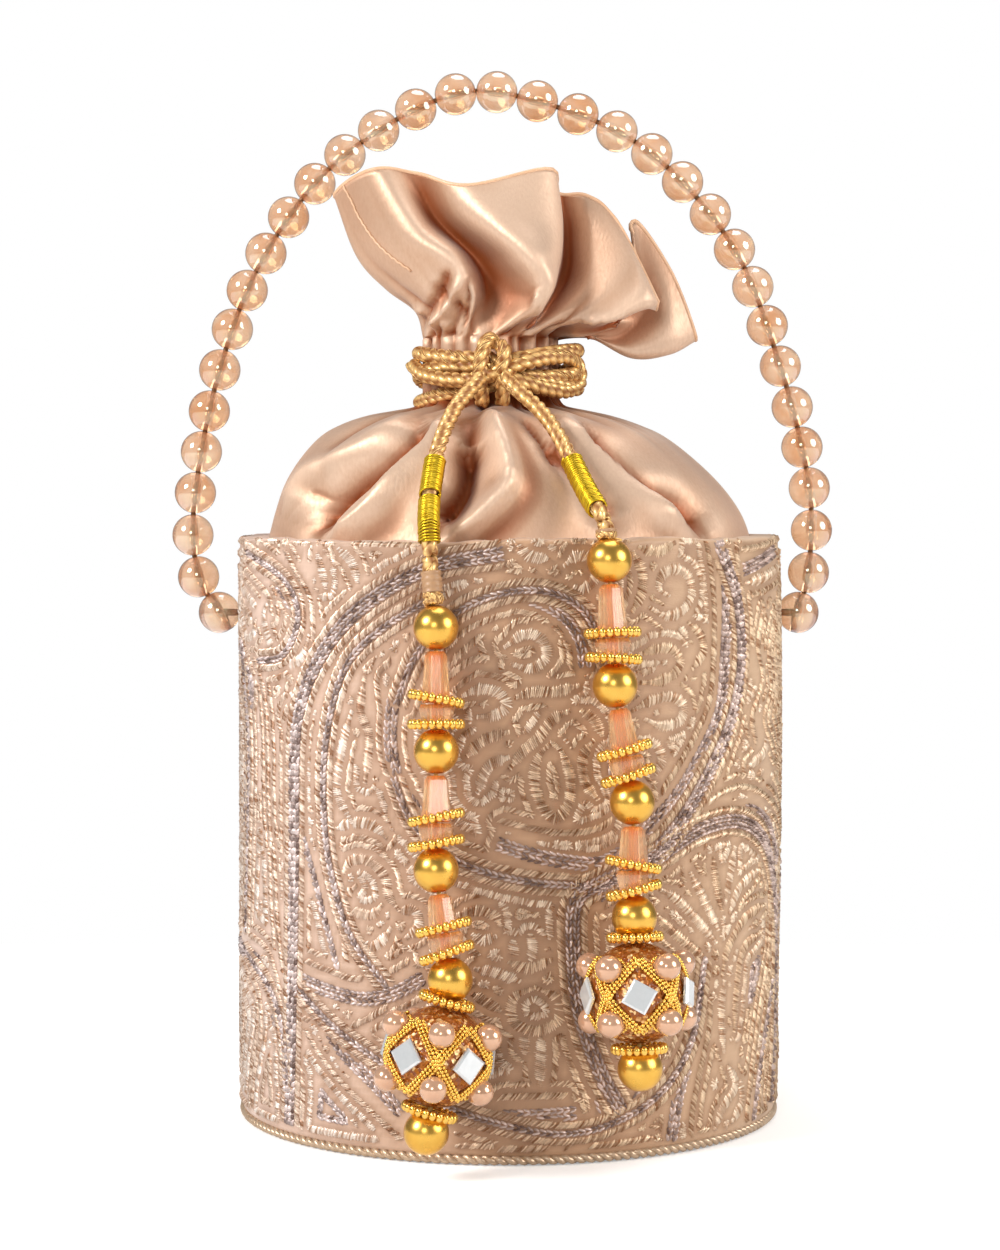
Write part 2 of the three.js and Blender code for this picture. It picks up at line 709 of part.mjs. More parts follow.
function buildTieCord() {
  addPiece("neck_cord", neckCord(), materials.rope);
  const [left, right] = [leftTail, rightTail].map((tail) => tail.map(([x, y, z]) => vector(x, y, z)));
  addPiece("left_tail_cord", tube(left, cordRadius, tailSteps, facets), materials.rope);
  addPiece("right_tail_cord", tube(right, cordRadius, tailSteps, facets), materials.rope);
  buildBullion("left_bullion_upper", left, leftBullion.upper);
  buildBullion("left_bullion_lower", left, leftBullion.lower);
  buildBullion("right_bullion", right, rightBullion);
}

// A turned bead with a bore, from [radius, height] points of its outside, lowest first.
function bored(outside) {
  const low = outside[0][1];
  const high = outside[outside.length - 1][1];
  return turned([[beadBoreRadius, low], ...outside, [beadBoreRadius, high]], facets);
}

function goldBall() {
  const radius = beadRadius;
  const mouth = Math.acos(beadBoreRadius / radius);
  const outside = [-1, -0.5, 0, 0.5, 1].map((share) => {
    const angle = share * mouth;
    return [radius * Math.cos(angle), radius * Math.sin(angle)];
  });
  return turned(outside, facets);
}

function cone(length) {
  return bored([
    [coneBaseRadius, -length / 2],
    [coneTopRadius, length / 2 - coneShoulder.length],
    [coneTopRadius - coneShoulder.width, length / 2],
  ]);
}

function bell() {
  return bored([
    [bellBaseRadius, -bellLength / 2],
    [bellTopRadius, bellLength / 2 - bellShoulder.length],
    [bellTopRadius - bellShoulder.width, bellLength / 2],
  ]);
}

// A ring of gold granules: its section is a flattened round.
function granuleRing() {
  const middle = (ringOuterRadius + ringInnerRadius) / 2;
  const half = ringThickness / 2;
  const profile = [
    [ringInnerRadius, 0],
    [middle, -half],
    [ringOuterRadius, 0],
    [middle, half],
  ];
  return turned(profile, ringFacets);
}

function ornamentBall() {
  const core = new THREE.SphereGeometry(ornamentCoreRadius, 2 * ornamentSides, 6).rotateX(Math.PI / 2);
  const pieces = [core];
  for (let i = 0; i < ornamentSides; i += 1) {
    const turn = (i / ornamentSides) * 2 * Math.PI;
    const plate = new THREE.BoxGeometry(ornamentPlateSize, ornamentPlateSize, 2 * ornamentPlateRise);
    plate.rotateZ(Math.PI / 4).rotateX(Math.PI / 2);
    pieces.push(plate.translate(0, -ornamentCoreRadius, 0).rotateZ(turn));
    for (const side of [-1, 1]) {
      const pearl = new THREE.SphereGeometry(ornamentPearlRadius, pearlFacets, 4).rotateX(Math.PI / 2);
      const tilt = degrees(ornamentPearlLatitude);
      pearl.translate(0, -ornamentPearlReach * Math.cos(tilt), side * ornamentPearlReach * Math.sin(tilt));
      pieces.push(pearl.rotateZ(turn + Math.PI / ornamentSides));
    }
  }
  const bore = new THREE.CylinderGeometry(beadBoreRadius, beadBoreRadius, 4 * ornamentCoreRadius, facets);
  const solid = pieces.map(solidOf).reduce((whole, next) => whole.add(next));
  return geometryOf(solid.subtract(solidOf(bore.rotateX(Math.PI / 2))));
}

// Stations of a strand: x and drop below the rim of each gold ball and of the ornament ball.
const strands = [
  {
    side: "left",
    pivot: { x: -17.5, drop: 5.2, out: 4.7 },
    balls: [[-16.2, 19.2], [-16.1, 46.3], [-16.1, 72.2], [-13, 95.9], [-18.2, 129]],
    ornamentDrop: 112.5,
    ringTilts: [11, 0, -11, -10, -7, -12],
    capTilts: [7, 7],
    ornamentTurn: 36,
    tape: [0.38, 0.86],
  },
  {
    side: "right",
    pivot: { x: 21.2, drop: -2.6, out: 5.4 },
    balls: [[22, 4.5], [23.2, 31.9], [27, 57.6], [27.4, 82.7], [28.6, 115.6]],
    ornamentDrop: 99.1,
    ringTilts: [0, 5, -8, -10, 12, -14],
    capTilts: [0, 0],
    ornamentTurn: 0,
    tape: [0.1, 0.6],
  },
];

// A place in front of the drum's wall, by its x, its drop below the rim and its distance out from the axis.
function frontPlace(x, drop, reach) {
  return vector(x, -Math.sqrt(reach ** 2 - x ** 2), drumHeight - drop);
}

// The strand hangs on a straight line from the rim to its ornament ball, which leans on the wall.
function strandReach(strand, drop) {
  const top = strand.pivot;
  const low = strand.ornamentDrop;
  const pearlOut = ornamentPearlReach * Math.cos(degrees(ornamentPearlLatitude)) + ornamentPearlRadius;
  const lowReach = drumRadius + bandRise + layerGap + pearlOut;
  return mix(drumRadius + top.out, lowReach, (drop - top.drop) / (low - top.drop));
}

function placeAlong(mesh, place, direction, tilt = 0) {
  mesh.position.copy(place);
  mesh.quaternion.setFromUnitVectors(upAxis, direction);
  mesh.rotateX(degrees(tilt));
}

// The pieces between two gold balls: cone, ring, bell and ring, from the upper ball down.
function buildGroup(side, number, upper, lower, tilts, parent) {
  const direction = upper.clone().sub(lower).normalize();
  const span = upper.distanceTo(lower) - goldBallDiameter;
  const coneLength = span - bellLength - 3 * beadGap;
  const below = (distance) => upper.clone().addScaledVector(direction, -(beadRadius + distance));
  const coneMesh = addPiece(`${side}_cone_${number}`, cone(coneLength), materials.peachBead, parent);
  placeAlong(coneMesh, below(beadGap + coneLength / 2), direction);
  const bellTop = 2 * beadGap + coneLength;
  const bellMesh = addPiece(`${side}_bell_${number}`, bell(), materials.peachBead, parent);
  placeAlong(bellMesh, below(bellTop + bellLength / 2), direction);
  const ringSeat = ringThickness / 2 + beadGap;
  const rings = [bellTop - ringSeat, bellTop + bellLength - ringSeat / 2];
  rings.forEach((distance, i) => {
    const ring = addPiece(`${side}_ring_${2 * number - 1 + i}`, granuleRing(), materials.goldBead, parent);
    placeAlong(ring, below(distance), direction, tilts[i]);
  });
}

function buildStrand(strand) {
  const { side } = strand;
  const group = new THREE.Group();
  bag.add(group);
  const at = ([x, drop]) => frontPlace(x, drop, strandReach(strand, drop));
  const balls = strand.balls.map(at);
  const share = (strand.ornamentDrop - strand.balls[3][1]) / (strand.balls[4][1] - strand.balls[3][1]);
  const ornament = balls[3].clone().lerp(balls[4], share);
  balls.forEach((place, i) => {
    const ball = addPiece(`${side}_gold_ball_${i + 1}`, goldBall(), materials.goldBead, group);
    const above = i > 0 ? balls[i - 1] : pivotOf(strand);
    const below = i + 1 < balls.length ? balls[i + 1] : place.clone().multiplyScalar(2).sub(above);
    placeAlong(ball, place, above.clone().sub(below).normalize());
  });
  for (let number = 1; number <= 3; number += 1) {
    const tilts = strand.ringTilts.slice(2 * number - 2, 2 * number);
    buildGroup(side, number, balls[number - 1], balls[number], tilts, group);
  }
  const axis = balls[3].clone().sub(balls[4]).normalize();
  const ball = addPiece(`${side}_ornament_ball`, ornamentBall(), materials.glitter, group);
  placeAlong(ball, ornament, axis);
  ball.rotateZ(degrees(strand.ornamentTurn));
  const capReach = ornamentCoreRadius + ringThickness / 2;
  strand.capTilts.forEach((tilt, i) => {
    const cap = addPiece(`${side}_cap_${i === 0 ? "upper" : "lower"}`, granuleRing(), materials.goldBead, group);
    placeAlong(cap, ornament.clone().addScaledVector(axis, i === 0 ? capReach : -capReach), axis, tilt);
  });
  const threadStart = balls[0].clone().addScaledVector(firstDirection(strand, balls[0]), threadEndShare * beadRadius);
  const threadEnd = balls[4].clone().addScaledVector(axis, -threadEndShare * beadRadius);
  const threadPath = [threadStart, ...balls, threadEnd];
  addPiece(`${side}_thread`, tube(threadPath, threadRadius, 2 * threadPath.length, 6), materials.thread, group);
  buildCordEnd(strand, balls[0], group);
}

function pivotOf(strand) {
  return frontPlace(strand.pivot.x, strand.pivot.drop, drumRadius + strand.pivot.out);
}

function firstDirection(strand, firstBall) {
  return pivotOf(strand).sub(firstBall).normalize();
}

// The short end of a tail between the rim and the first gold ball, round at the top, with tape round it.
function buildCordEnd(strand, firstBall, group) {
  const top = pivotOf(strand);
  const direction = firstDirection(strand, firstBall);
  const bottom = firstBall.clone().addScaledVector(direction, beadRadius + beadGap);
  const middle = top.clone().lerp(bottom, 0.5);
  const dome = new THREE.SphereGeometry(cordRadius, facets, 6).translate(top.x, top.y, top.z);
  const stub = tube([top, middle, bottom], cordRadius, 2, facets);
  addPiece(`${strand.side}_cord_end`, joined([dome, stub]), materials.rope, group);
  const inner = cordRadius + layerGap;
  const ends = strand.tape.map((share) => top.clone().lerp(bottom, share));
  addPiece(`${strand.side}_cord_tape`, tube(ends, inner + tapeThickness, 1, facets, inner), materials.tape, group);
}

buildDrum();
buildHandle();
addPiece("satin_pouch", pouchGeometry(), materials.satin);
buildTieCord();
strands.forEach(buildStrand);

export default bag;
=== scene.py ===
import math

import bpy
import numpy as np
from mathutils import Matrix, Vector


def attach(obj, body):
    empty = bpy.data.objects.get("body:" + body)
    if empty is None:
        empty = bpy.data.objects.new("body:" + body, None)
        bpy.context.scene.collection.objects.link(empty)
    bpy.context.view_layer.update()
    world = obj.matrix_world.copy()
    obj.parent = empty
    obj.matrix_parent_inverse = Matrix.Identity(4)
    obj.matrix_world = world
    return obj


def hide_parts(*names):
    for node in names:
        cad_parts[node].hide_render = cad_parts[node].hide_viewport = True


# A potli bag: embroidered drum, gathered satin top, tie cord with two bead strands, and a beaded handle.
# Shapes are written in millimetres and stored in metres. The front of the bag faces -Y.
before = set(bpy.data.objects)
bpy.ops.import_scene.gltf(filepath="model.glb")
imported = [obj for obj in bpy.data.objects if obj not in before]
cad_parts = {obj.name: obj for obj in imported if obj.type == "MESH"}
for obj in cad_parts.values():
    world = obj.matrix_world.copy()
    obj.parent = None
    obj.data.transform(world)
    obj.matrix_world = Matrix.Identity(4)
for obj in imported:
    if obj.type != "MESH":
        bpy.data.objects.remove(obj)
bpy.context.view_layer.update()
noise = np.random.default_rng(7)


# Shader helpers
class Wire:
    # A shader socket that Python operators combine through Math nodes.
    def __init__(self, owner, socket):
        self.owner = owner
        self.socket = socket

    def math(self, operation, *others, clamp=False):
        settings = {"operation": operation, "use_clamp": clamp}
        return self.owner.node("Math", settings, dict(enumerate((self, *others))))

    def __add__(self, other):
        return self.math("ADD", other)

    def __radd__(self, other):
        return self.math("ADD", other)

    def __sub__(self, other):
        return self.math("SUBTRACT", other)

    def __rsub__(self, other):
        return (self * -1) + other

    def __mul__(self, other):
        return self.math("MULTIPLY", other)

    def __rmul__(self, other):
        return self.math("MULTIPLY", other)

    def between(self, low, high):
        return ((self - low) * (1 / (high - low))).math("ADD", 0, clamp=True)


class Nodes:
    # Adds nodes to one tree.
    def __init__(self, tree):
        self.tree = tree
        tree.nodes.clear()

    def feed(self, target, value):
        if isinstance(value, Wire):
            self.tree.links.new(value.socket, target)
        elif isinstance(value, (tuple, list)) and len(value) == 3 and target.type == "RGBA":
            target.default_value = (*value, 1)
        else:
            target.default_value = value

    def node(self, kind, settings=None, values=None, output=0):
        node = self.tree.nodes.new("ShaderNode" + kind)
        for key, value in (settings or {}).items():
            setattr(node, key, value)
        for key, value in (values or {}).items():
            self.feed(node.inputs[key], value)
        return Wire(self, node.outputs[output]) if len(node.outputs) else node

    def mix(self, share, first, second):
        settings = {"data_type": "RGBA", "clamp_factor": True}
        return self.node("Mix", settings, {0: share, 6: first, 7: second}, output=2)


class Paint(Nodes):
    # One material with a Principled shader.
    def __init__(self, name, **fixed):
        self.material = bpy.data.materials.new(name)
        self.material.use_nodes = True
        super().__init__(self.material.node_tree)
        self.shader = self.tree.nodes.new("ShaderNodeBsdfPrincipled")
        self.node("OutputMaterial", None, {"Surface": Wire(self, self.shader.outputs[0])})
        for key, value in fixed.items():
            self.set(key.replace("_", " ").title().replace("Ior", "IOR"), value)

    def set(self, name, value):
        self.feed(self.shader.inputs[name], value)

    def place(self):
        return self.node("TexCoord", output="Object")

    def flat(self):
        return self.node("UVMap")

    def part(self, vector, index):
        # One number of a vector: 0 is X, 1 is Y, 2 is Z.
        return self.node("SeparateXYZ", None, {0: vector}, output=index)

    def tone(self, name):
        return self.node("Attribute", {"attribute_name": name}, output="Fac")

    def noise(self, where, scale, detail=3.0, rough=0.55, stretch=None):
        if stretch:
            where = self.node("VectorMath", {"operation": "MULTIPLY"}, {0: where, 1: stretch})
        values = {"Vector": where, "Scale": scale, "Detail": detail, "Roughness": rough}
        return self.node("TexNoise", None, values)

    def blend(self, share, first, second):
        # The base colour, between two written colours.
        self.set("Base Color", self.mix(share, linear(first), linear(second)))

    def bump(self, height, depth, strength=1.0, under=None):
        values = {"Height": height, "Distance": depth, "Strength": strength}
        if under:
            values["Normal"] = under
        return self.node("Bump", None, values)


def linear(code):
    # A colour written as in a picture editor, as light.
    parts = [int(code[i : i + 2], 16) / 255 for i in (0, 2, 4)]
    return tuple(p / 12.92 if p <= 0.04045 else ((p + 0.055) / 1.055) ** 2.4 for p in parts)


# Mesh helpers
def makePiece(name, shape, paint, body, smooth=True, scalars=None, uv=None, stands=()):
    # A visible piece that moves with a body and stands for CAD nodes. Its shape is (points, faces).
    points, faces = shape
    points = np.asarray(points, float).reshape(-1, 3) / 1000
    groups = [np.asarray(group, int) for group in faces]
    mesh = bpy.data.meshes.new(name)
    corners = np.concatenate([group.ravel() for group in groups])
    starts, at = [], 0
    for group in groups:
        starts.append(at + np.arange(len(group)) * group.shape[1])
        at += group.size
    starts = np.concatenate(starts)
    mesh.vertices.add(len(points))
    mesh.vertices.foreach_set("co", points.astype(np.float32).ravel())
    mesh.loops.add(len(corners))
    mesh.loops.foreach_set("vertex_index", corners.astype(np.int32))
    mesh.polygons.add(len(starts))
    mesh.polygons.foreach_set("loop_start", starts.astype(np.int32))
    mesh.polygons.foreach_set("use_smooth", np.full(len(starts), smooth))
    mesh.update(calc_edges=True)
    if uv is not None:
        layer = mesh.uv_layers.new(name="UVMap")
        layer.data.foreach_set("uv", np.asarray(uv, np.float32)[corners].ravel())
    for key, values in (scalars or {}).items():
        attribute = mesh.attributes.new(key, "FLOAT", "POINT")
        attribute.data.foreach_set("value", np.asarray(values, np.float32))
    mesh.validate()
    piece = bpy.data.objects.new(name, mesh)
    bpy.context.scene.collection.objects.link(piece)
    mesh.materials.append(paint.material)
    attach(piece, body)
    if stands:
        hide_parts(*stands)
    return piece


def gridFaces(rows, columns, flip=False):
    # Quads between rings of points.
    low = np.arange(rows - 1)[:, None] * columns + np.arange(columns)[None, :]
    right = np.arange(rows - 1)[:, None] * columns + (np.arange(columns)[None, :] + 1) % columns
    quads = np.stack([low, right, right + columns, low + columns], -1).reshape(-1, 4)
    return quads[:, ::-1] if flip else quads


def closingFaces(rows, columns, flip=False):
    # Quads from the last ring of points back to the first.
    last = (rows - 1) * columns + np.arange(columns)
    first = np.arange(columns)
    quads = np.stack([last, np.roll(last, -1), np.roll(first, -1), first], -1)
    return quads[:, [0, 3, 2, 1]] if flip else quads


def joinParts(parts):
    # Several (points, faces) pairs as one.
    points, faces, at = [], [], 0
    for part, groups in parts:
        points.append(part)
        faces.extend(group + at for group in groups)
        at += len(part)
    return np.concatenate(points), sortFaces(faces)


def sortFaces(groups):
    # One array of faces for each number of corners.
    wide = {}
    for group in groups:
        wide.setdefault(group.shape[1], []).append(group)
    return [np.concatenate(same) for same in wide.values()]


def between(before, first, last, after, t):
    # A smooth step from the first value to the last, with their neighbours.
    bend = (last - before) * t + (2 * before - 5 * first + 4 * last - after) * t**2
    return first + 0.5 * (bend + (3 * first - before - 3 * last + after) * t**3)


def smoothLine(points, step):
    # A smooth line through the points, with its own points a step apart.
    points = np.asarray(points, float)
    padded = np.concatenate([2 * points[:1] - points[1:2], points, 2 * points[-1:] - points[-2:-1]])
    out = []
    for i in range(len(padded) - 3):
        out.append(between(*padded[i : i + 4], np.linspace(0, 1, 24, endpoint=False)[:, None]))
    out = np.concatenate(out + [points[-1:]])
    lengths = np.concatenate([[0], np.cumsum(np.linalg.norm(np.diff(out, axis=0), axis=1))])
    count = max(2, int(round(lengths[-1] / step)) + 1)
    at = np.linspace(0, lengths[-1], count)
    return np.stack([np.interp(at, lengths, out[:, k]) for k in range(out.shape[1])], -1)


def framesOf(line, closed=False):
    # Two directions across the line at each point, carried along it without turning.
    startUp = (0.13, 0.21, 0.97)  # along no line of this bag
    if closed:
        tangents = np.roll(line, -1, 0) - np.roll(line, 1, 0)
    else:
        tangents = np.gradient(line, axis=0)
    tangents /= np.linalg.norm(tangents, axis=1, keepdims=True)
    first = np.cross(tangents[0], startUp)
    first /= np.linalg.norm(first)
    across = [first]
    for tangent in tangents[1:]:
        side = across[-1] - tangent * np.dot(across[-1], tangent)
        across.append(side / np.linalg.norm(side))
    across = np.array(across)
    if closed:
        # The turn left over at the seam is spread round the loop.
        end = across[-1] - tangents[0] * np.dot(across[-1], tangents[0])
        turn = math.atan2(np.dot(np.cross(end, across[0]), tangents[0]), np.dot(end, across[0]))
        angles = np.linspace(0, turn, len(line), endpoint=False)[:, None]
        other = np.cross(tangents, across)
        across = across * np.cos(angles) + other * np.sin(angles)
    return across, np.cross(tangents, across)


def sweep(line, radius, sides, closed=False):
    # A round tube along a line, with one radius or one for each point.
    across, other = framesOf(line, closed)
    radius = np.broadcast_to(radius, (len(line),))
    angles = np.arange(sides) * 2 * math.pi / sides
    ring = np.cos(angles)[None, :, None] * across[:, None] + np.sin(angles)[None, :, None] * other[:, None]
    points = (line[:, None] + radius[:, None, None] * ring).reshape(-1, 3)
    faces = gridFaces(len(line), sides)
    if closed:
        return points, [np.concatenate([faces, closingFaces(len(line), sides)])]
    middles = np.stack([line[0], line[-1]])
    count = len(points)
    rim = np.arange(sides)
    tail = (len(line) - 1) * sides + rim
    caps = np.concatenate([
        np.stack([np.full(sides, count), np.roll(rim, -1), rim], -1),
        np.stack([np.full(sides, count + 1), tail, np.roll(tail, -1)], -1),
    ])
    return np.concatenate([points, middles]), [faces, caps]


def twistedRing(line, radius, strands, pitch, sides=8, packing=0.54):
    # Strands laid round each other along a closed line, as in a rope.
    across, other = framesOf(line, closed=True)
    steps = np.linalg.norm(np.roll(line, -1, 0) - line, axis=1)
    along = np.concatenate([[0], np.cumsum(steps)])[: len(line)]
    pitch = steps.sum() / max(1, round(steps.sum() / pitch))
    parts = []
    offset = radius * (1 - packing)
    for k in range(strands):
        angle = (2 * math.pi * (along / pitch + k / strands))[:, None]
        middle = line + offset * (np.cos(angle) * across + np.sin(angle) * other)
        parts.append(sweep(middle, radius * packing, sides, closed=True))
    return joinParts(parts)


def ball(radius, sides, rings, bore=0.0):
    # A round bead about Z, with its points on rings from below to above.
    low = math.acos(min(1, bore / radius)) if bore else math.pi / 2
    tilt = np.linspace(-low, low, rings)
    turn = np.arange(sides) * 2 * math.pi / sides
    points = np.stack([
        radius * np.cos(tilt)[:, None] * np.cos(turn)[None],
        radius * np.cos(tilt)[:, None] * np.sin(turn)[None],
        radius * np.sin(tilt)[:, None] * np.ones(sides)[None],
    ], -1).reshape(-1, 3)
    faces = gridFaces(rings, sides)
    if bore:
        faces = np.concatenate([faces, closingFaces(rings, sides)])
    return points, [faces]


def turned(profile, sides):
    # A closed profile of (radius, height) turned about Z. It runs anticlockwise with the axis on its left.
    profile = np.asarray(profile, float)
    turn = np.arange(sides) * 2 * math.pi / sides
    points = np.stack([
        profile[:, 0, None] * np.cos(turn)[None],
        profile[:, 0, None] * np.sin(turn)[None],
        profile[:, 1, None] * np.ones(sides)[None],
    ], -1).reshape(-1, 3)
    return points, [np.concatenate([gridFaces(len(profile), sides), closingFaces(len(profile), sides)])]


def rounded(profile, radius):
    # A closed profile with its corners rounded.
    profile = [np.asarray(p, float) for p in profile]
    out = []
    for i, corner in enumerate(profile):
        before = profile[i - 1] - corner
        after = profile[(i + 1) % len(profile)] - corner
        cut = min(radius, 0.45 * np.linalg.norm(before), 0.45 * np.linalg.norm(after))
        a = corner + before / np.linalg.norm(before) * cut
        b = corner + after / np.linalg.norm(after) * cut
        for t in (0, 0.5, 1):
            out.append((1 - t) ** 2 * a + 2 * t * (1 - t) * corner + t**2 * b)
    return out


def turnedTo(points, place, direction, tilt=0.0, spin=0.0):
    # Points drawn about Z, set at a place with Z along a direction, tilted about their own Y first.
    turn = Vector((0, 0, 1)).rotation_difference(Vector(direction)).to_matrix()
    turn = turn @ Matrix.Rotation(math.radians(tilt), 3, "Y") @ Matrix.Rotation(math.radians(spin), 3, "Z")
    return points @ np.array(turn).T + np.asarray(place)


def aimed(shape, place, direction, tilt=0.0, spin=0.0):
    points, faces = shape
    return turnedTo(points, place, direction, tilt, spin), faces


def wayTo(target, start):
    # The direction from the start to the target.
    return (target - start) / np.linalg.norm(target - start)


# Camera, light and floor, in metres apart from the camera's place in millimetres
cameraPlace = {"across": -2.1, "distance": 750.6, "height": 155.3, "tilt": 2.851}
cameraLens = {"focalPixels": 3101.1, "pictureHeight": 1250, "sensor": 36}


def addCamera():
    data = bpy.data.cameras.new("camera")
    data.sensor_fit = "VERTICAL"
    data.sensor_height = cameraLens["sensor"]
    data.lens = cameraLens["focalPixels"] / cameraLens["pictureHeight"] * cameraLens["sensor"]
    camera = bpy.data.objects.new("camera", data)
    place = (cameraPlace["across"], -cameraPlace["distance"], cameraPlace["height"])
    camera.location = [c / 1000 for c in place]
    camera.rotation_euler = (math.radians(90 - cameraPlace["tilt"]), 0, 0)
    bpy.context.scene.collection.objects.link(camera)
    bpy.context.scene.camera = camera


lights = {
    "key": {"at": (-1.15, -0.7, 0.95), "size": 0.55, "power": 21.5, "color": (1, 0.985, 0.96)},
    "fill": {"at": (1.15, -0.5, 0.6), "size": 0.8, "power": 11.5, "color": (1, 0.975, 0.94)},
    "front": {"at": (-0.25, -1.5, 0.55), "size": 0.4, "power": 3.8, "color": (1, 0.985, 0.96)},
    "top": {"at": (0.1, 0.25, 1.3), "size": 0.8, "power": 6.0, "color": (1, 1, 1)},
}
lightAim = (0, 0, 0.12)
sky = {"color": (1, 0.99, 0.98), "level": 0.24}


def addLights():
    for name, spec in lights.items():
        data = bpy.data.lights.new(name, "AREA")
        data.shape = "DISK"
        data.size = spec["size"]
        data.energy = spec["power"]
        data.color = spec["color"]
        lamp = bpy.data.objects.new(name, data)
        lamp.location = spec["at"]
        aim = Vector(lightAim) - Vector(spec["at"])
        lamp.rotation_euler = aim.to_track_quat("-Z", "Y").to_euler()
        bpy.context.scene.collection.objects.link(lamp)


def addSky():
    # Soft light from all round, plain white where the camera sees it.
    world = bpy.data.worlds.new("world")
    bpy.context.scene.world = world
    world.use_nodes = True
    nodes = Nodes(world.node_tree)
    straight = nodes.node("LightPath", output="Is Camera Ray")
    through = nodes.node("LightPath", output="Is Transmission Ray")
    soft = nodes.node("Background", None, {"Color": sky["color"], "Strength": sky["level"]})
    plain = nodes.node("Background", None, {"Color": (1, 1, 1), "Strength": 1})
    mixed = nodes.node("MixShader", None, {0: straight.math("MAXIMUM", through), 1: soft, 2: plain})
    nodes.node("OutputWorld", None, {"Surface": mixed})


floorSizes = {"side": 3.0, "far": 0.26, "tone": 0.86, "glow": 0.35, "glowUnseen": 0.1}


def addFloor():
    # The floor glows for the camera and much less on the bag, so it looks white and keeps the shadow.
    side, far, tone, unseen = (floorSizes[key] for key in ("side", "far", "tone", "glowUnseen"))
    mesh = bpy.data.meshes.new("floor")
    corners = [(-side, -side, 0), (side, -side, 0), (side, far, 0), (-side, far, 0)]
    mesh.from_pydata(corners, [], [(0, 1, 2, 3)])
    floor = bpy.data.objects.new("floor", mesh)
    bpy.context.scene.collection.objects.link(floor)
    paint = Paint("floor", base_color=(tone, tone, tone), roughness=0.9)
    paint.set("Specular IOR Level", 0.1)
    seen = paint.node("LightPath", output="Is Camera Ray")
    paint.set("Emission Color", paint.mix(seen, (unseen, unseen, unseen), (1, 1, 1)))
    paint.set("Emission Strength", floorSizes["glow"])
    mesh.materials.append(paint.material)


bpy.context.scene.view_settings.view_transform = "Standard"
addCamera()
addLights()
addSky()
addFloor()
print("stage done")

# Sizes shared with the solids, in millimetres
drum = {"radius": 64.8, "height": 140.0}
wallR = drum["radius"]


# Handle: round beads on a wire bent to an arch
handle = {
    "pivotHeight": 121.0, "rise": 124.4, "halfWidth": 76.4, "beadSeat": 70.1, "beadSize": 10.0,
    "beadPitch": 10.05, "wire": 0.62, "bore": 0.95, "wireEnd": 60.6,
    "stopAt": 60.5, "stopRadius": 2.4, "stopHalf": 0.4,
    "color": "FCDABA", "deep": "E9AA78", "wireColor": "5A3C28", "wireShine": "8A6444",
}
# Points of the arch as shares of its half width and rise.
archShares = [
    (-0.985, 0.075), (-0.995, 0.215), (-0.92, 0.455), (-0.78, 0.68), (-0.543, 0.871), (-0.195, 0.997),
    (0.08, 0.99), (0.427, 0.898), (0.7, 0.715), (0.85, 0.493), (0.948, 0.256), (0.953, 0.095),
]


def beadPaint():
    paint = Paint("lustrous_bead", roughness=0.05, ior=1.45, transmission_weight=0.8)
    where = paint.place()
    cloud = paint.noise(where, 140, 3)
    paint.blend(cloud.between(0.35, 0.65), handle["color"], handle["deep"])
    paint.set("Coat Weight", 0.8)
    paint.set("Coat Roughness", 0.03)
    paint.set("Coat IOR", 1.9)
    paint.set("Thin Film Thickness", 420)
    paint.set("Thin Film IOR", 1.6)
    paint.set("Roughness", cloud * 0.06 + 0.03)
    paint.set("Normal", paint.bump(paint.noise(where, 500, 2), 0.00004, 0.4))
    return paint


def wirePaint():
    paint = Paint("handle_wire", metallic=0.7, roughness=0.4)
    paint.blend(paint.noise(paint.place(), 900, 2), handle["wireColor"], handle["wireShine"])
    return paint


def handleStop(side):
    # The flat stop inside the drum that keeps the wire in its hole.
    radius, half, axis = handle["stopRadius"], handle["stopHalf"], 0.05
    profile = rounded([(axis, -half), (radius, -half), (radius, half), (axis, half)], half / 2)
    return aimed(turned(profile, 20), (side * handle["stopAt"], 0, handle["pivotHeight"]), (side, 0, 0))


def buildHandle():
    seat, inner, foot, step = handle["beadSeat"], handle["wireEnd"], handle["pivotHeight"], 0.25
    arch = [(x * handle["halfWidth"], 0, foot + z * handle["rise"]) for x, z in archShares]
    line = smoothLine([(-seat, 0, foot), *arch, (seat, 0, foot)], step)
    count = round(step * (len(line) - 1) / handle["beadPitch"]) + 1
    beads = []
    for i in np.linspace(0, len(line) - 1, count).round().astype(int):
        way = wayTo(line[min(i + 2, len(line) - 1)], line[max(i - 2, 0)])
        bead = ball(handle["beadSize"] / 2, 28, 18, handle["bore"])
        beads.append(aimed(bead, line[i], way, spin=float(noise.uniform(0, 360))))
    makePiece("handle_beads", joinParts(beads), beadPaint(), "handle", stands=["beaded_handle"])
    wire = np.concatenate([[(-inner, 0, foot)], line[::4], [(inner, 0, foot)]])
    parts = [sweep(wire, handle["wire"], 8), handleStop(-1), handleStop(1)]
    makePiece("handle_wire", joinParts(parts), wirePaint(), "handle")
    print("handle done", count, "beads")


# Strands: gold balls, fluted cones and bells, granule rings, and an ornament ball on each
strandSizes = {
    "ball": 5.0, "bore": 1.2, "gap": 0.3, "coneTop": 2.6, "coneBase": 3.4, "bellTop": 4.1, "bellBase": 3.3,
    "bellLength": 5.0, "granule": 0.88, "granuleShape": (0.94, 0.94, 1.28), "granules": 22,
    "ringMiddle": 5.62, "bandOuter": 5.3, "bandDepth": 1.65, "bandHalf": 0.55, "ringDrops": (-1.3, 4.35),
    "thread": 0.5, "threadTop": 4.2, "threadTail": 4.4,
    "gold": "E4AE4C", "goldShine": "F5C662", "peach": "FFCB8C", "peachPale": "FADFBC", "peachEnd": "FA9E50",
    "threadColor": "C99A4B", "threadShine": "E6C378",
}
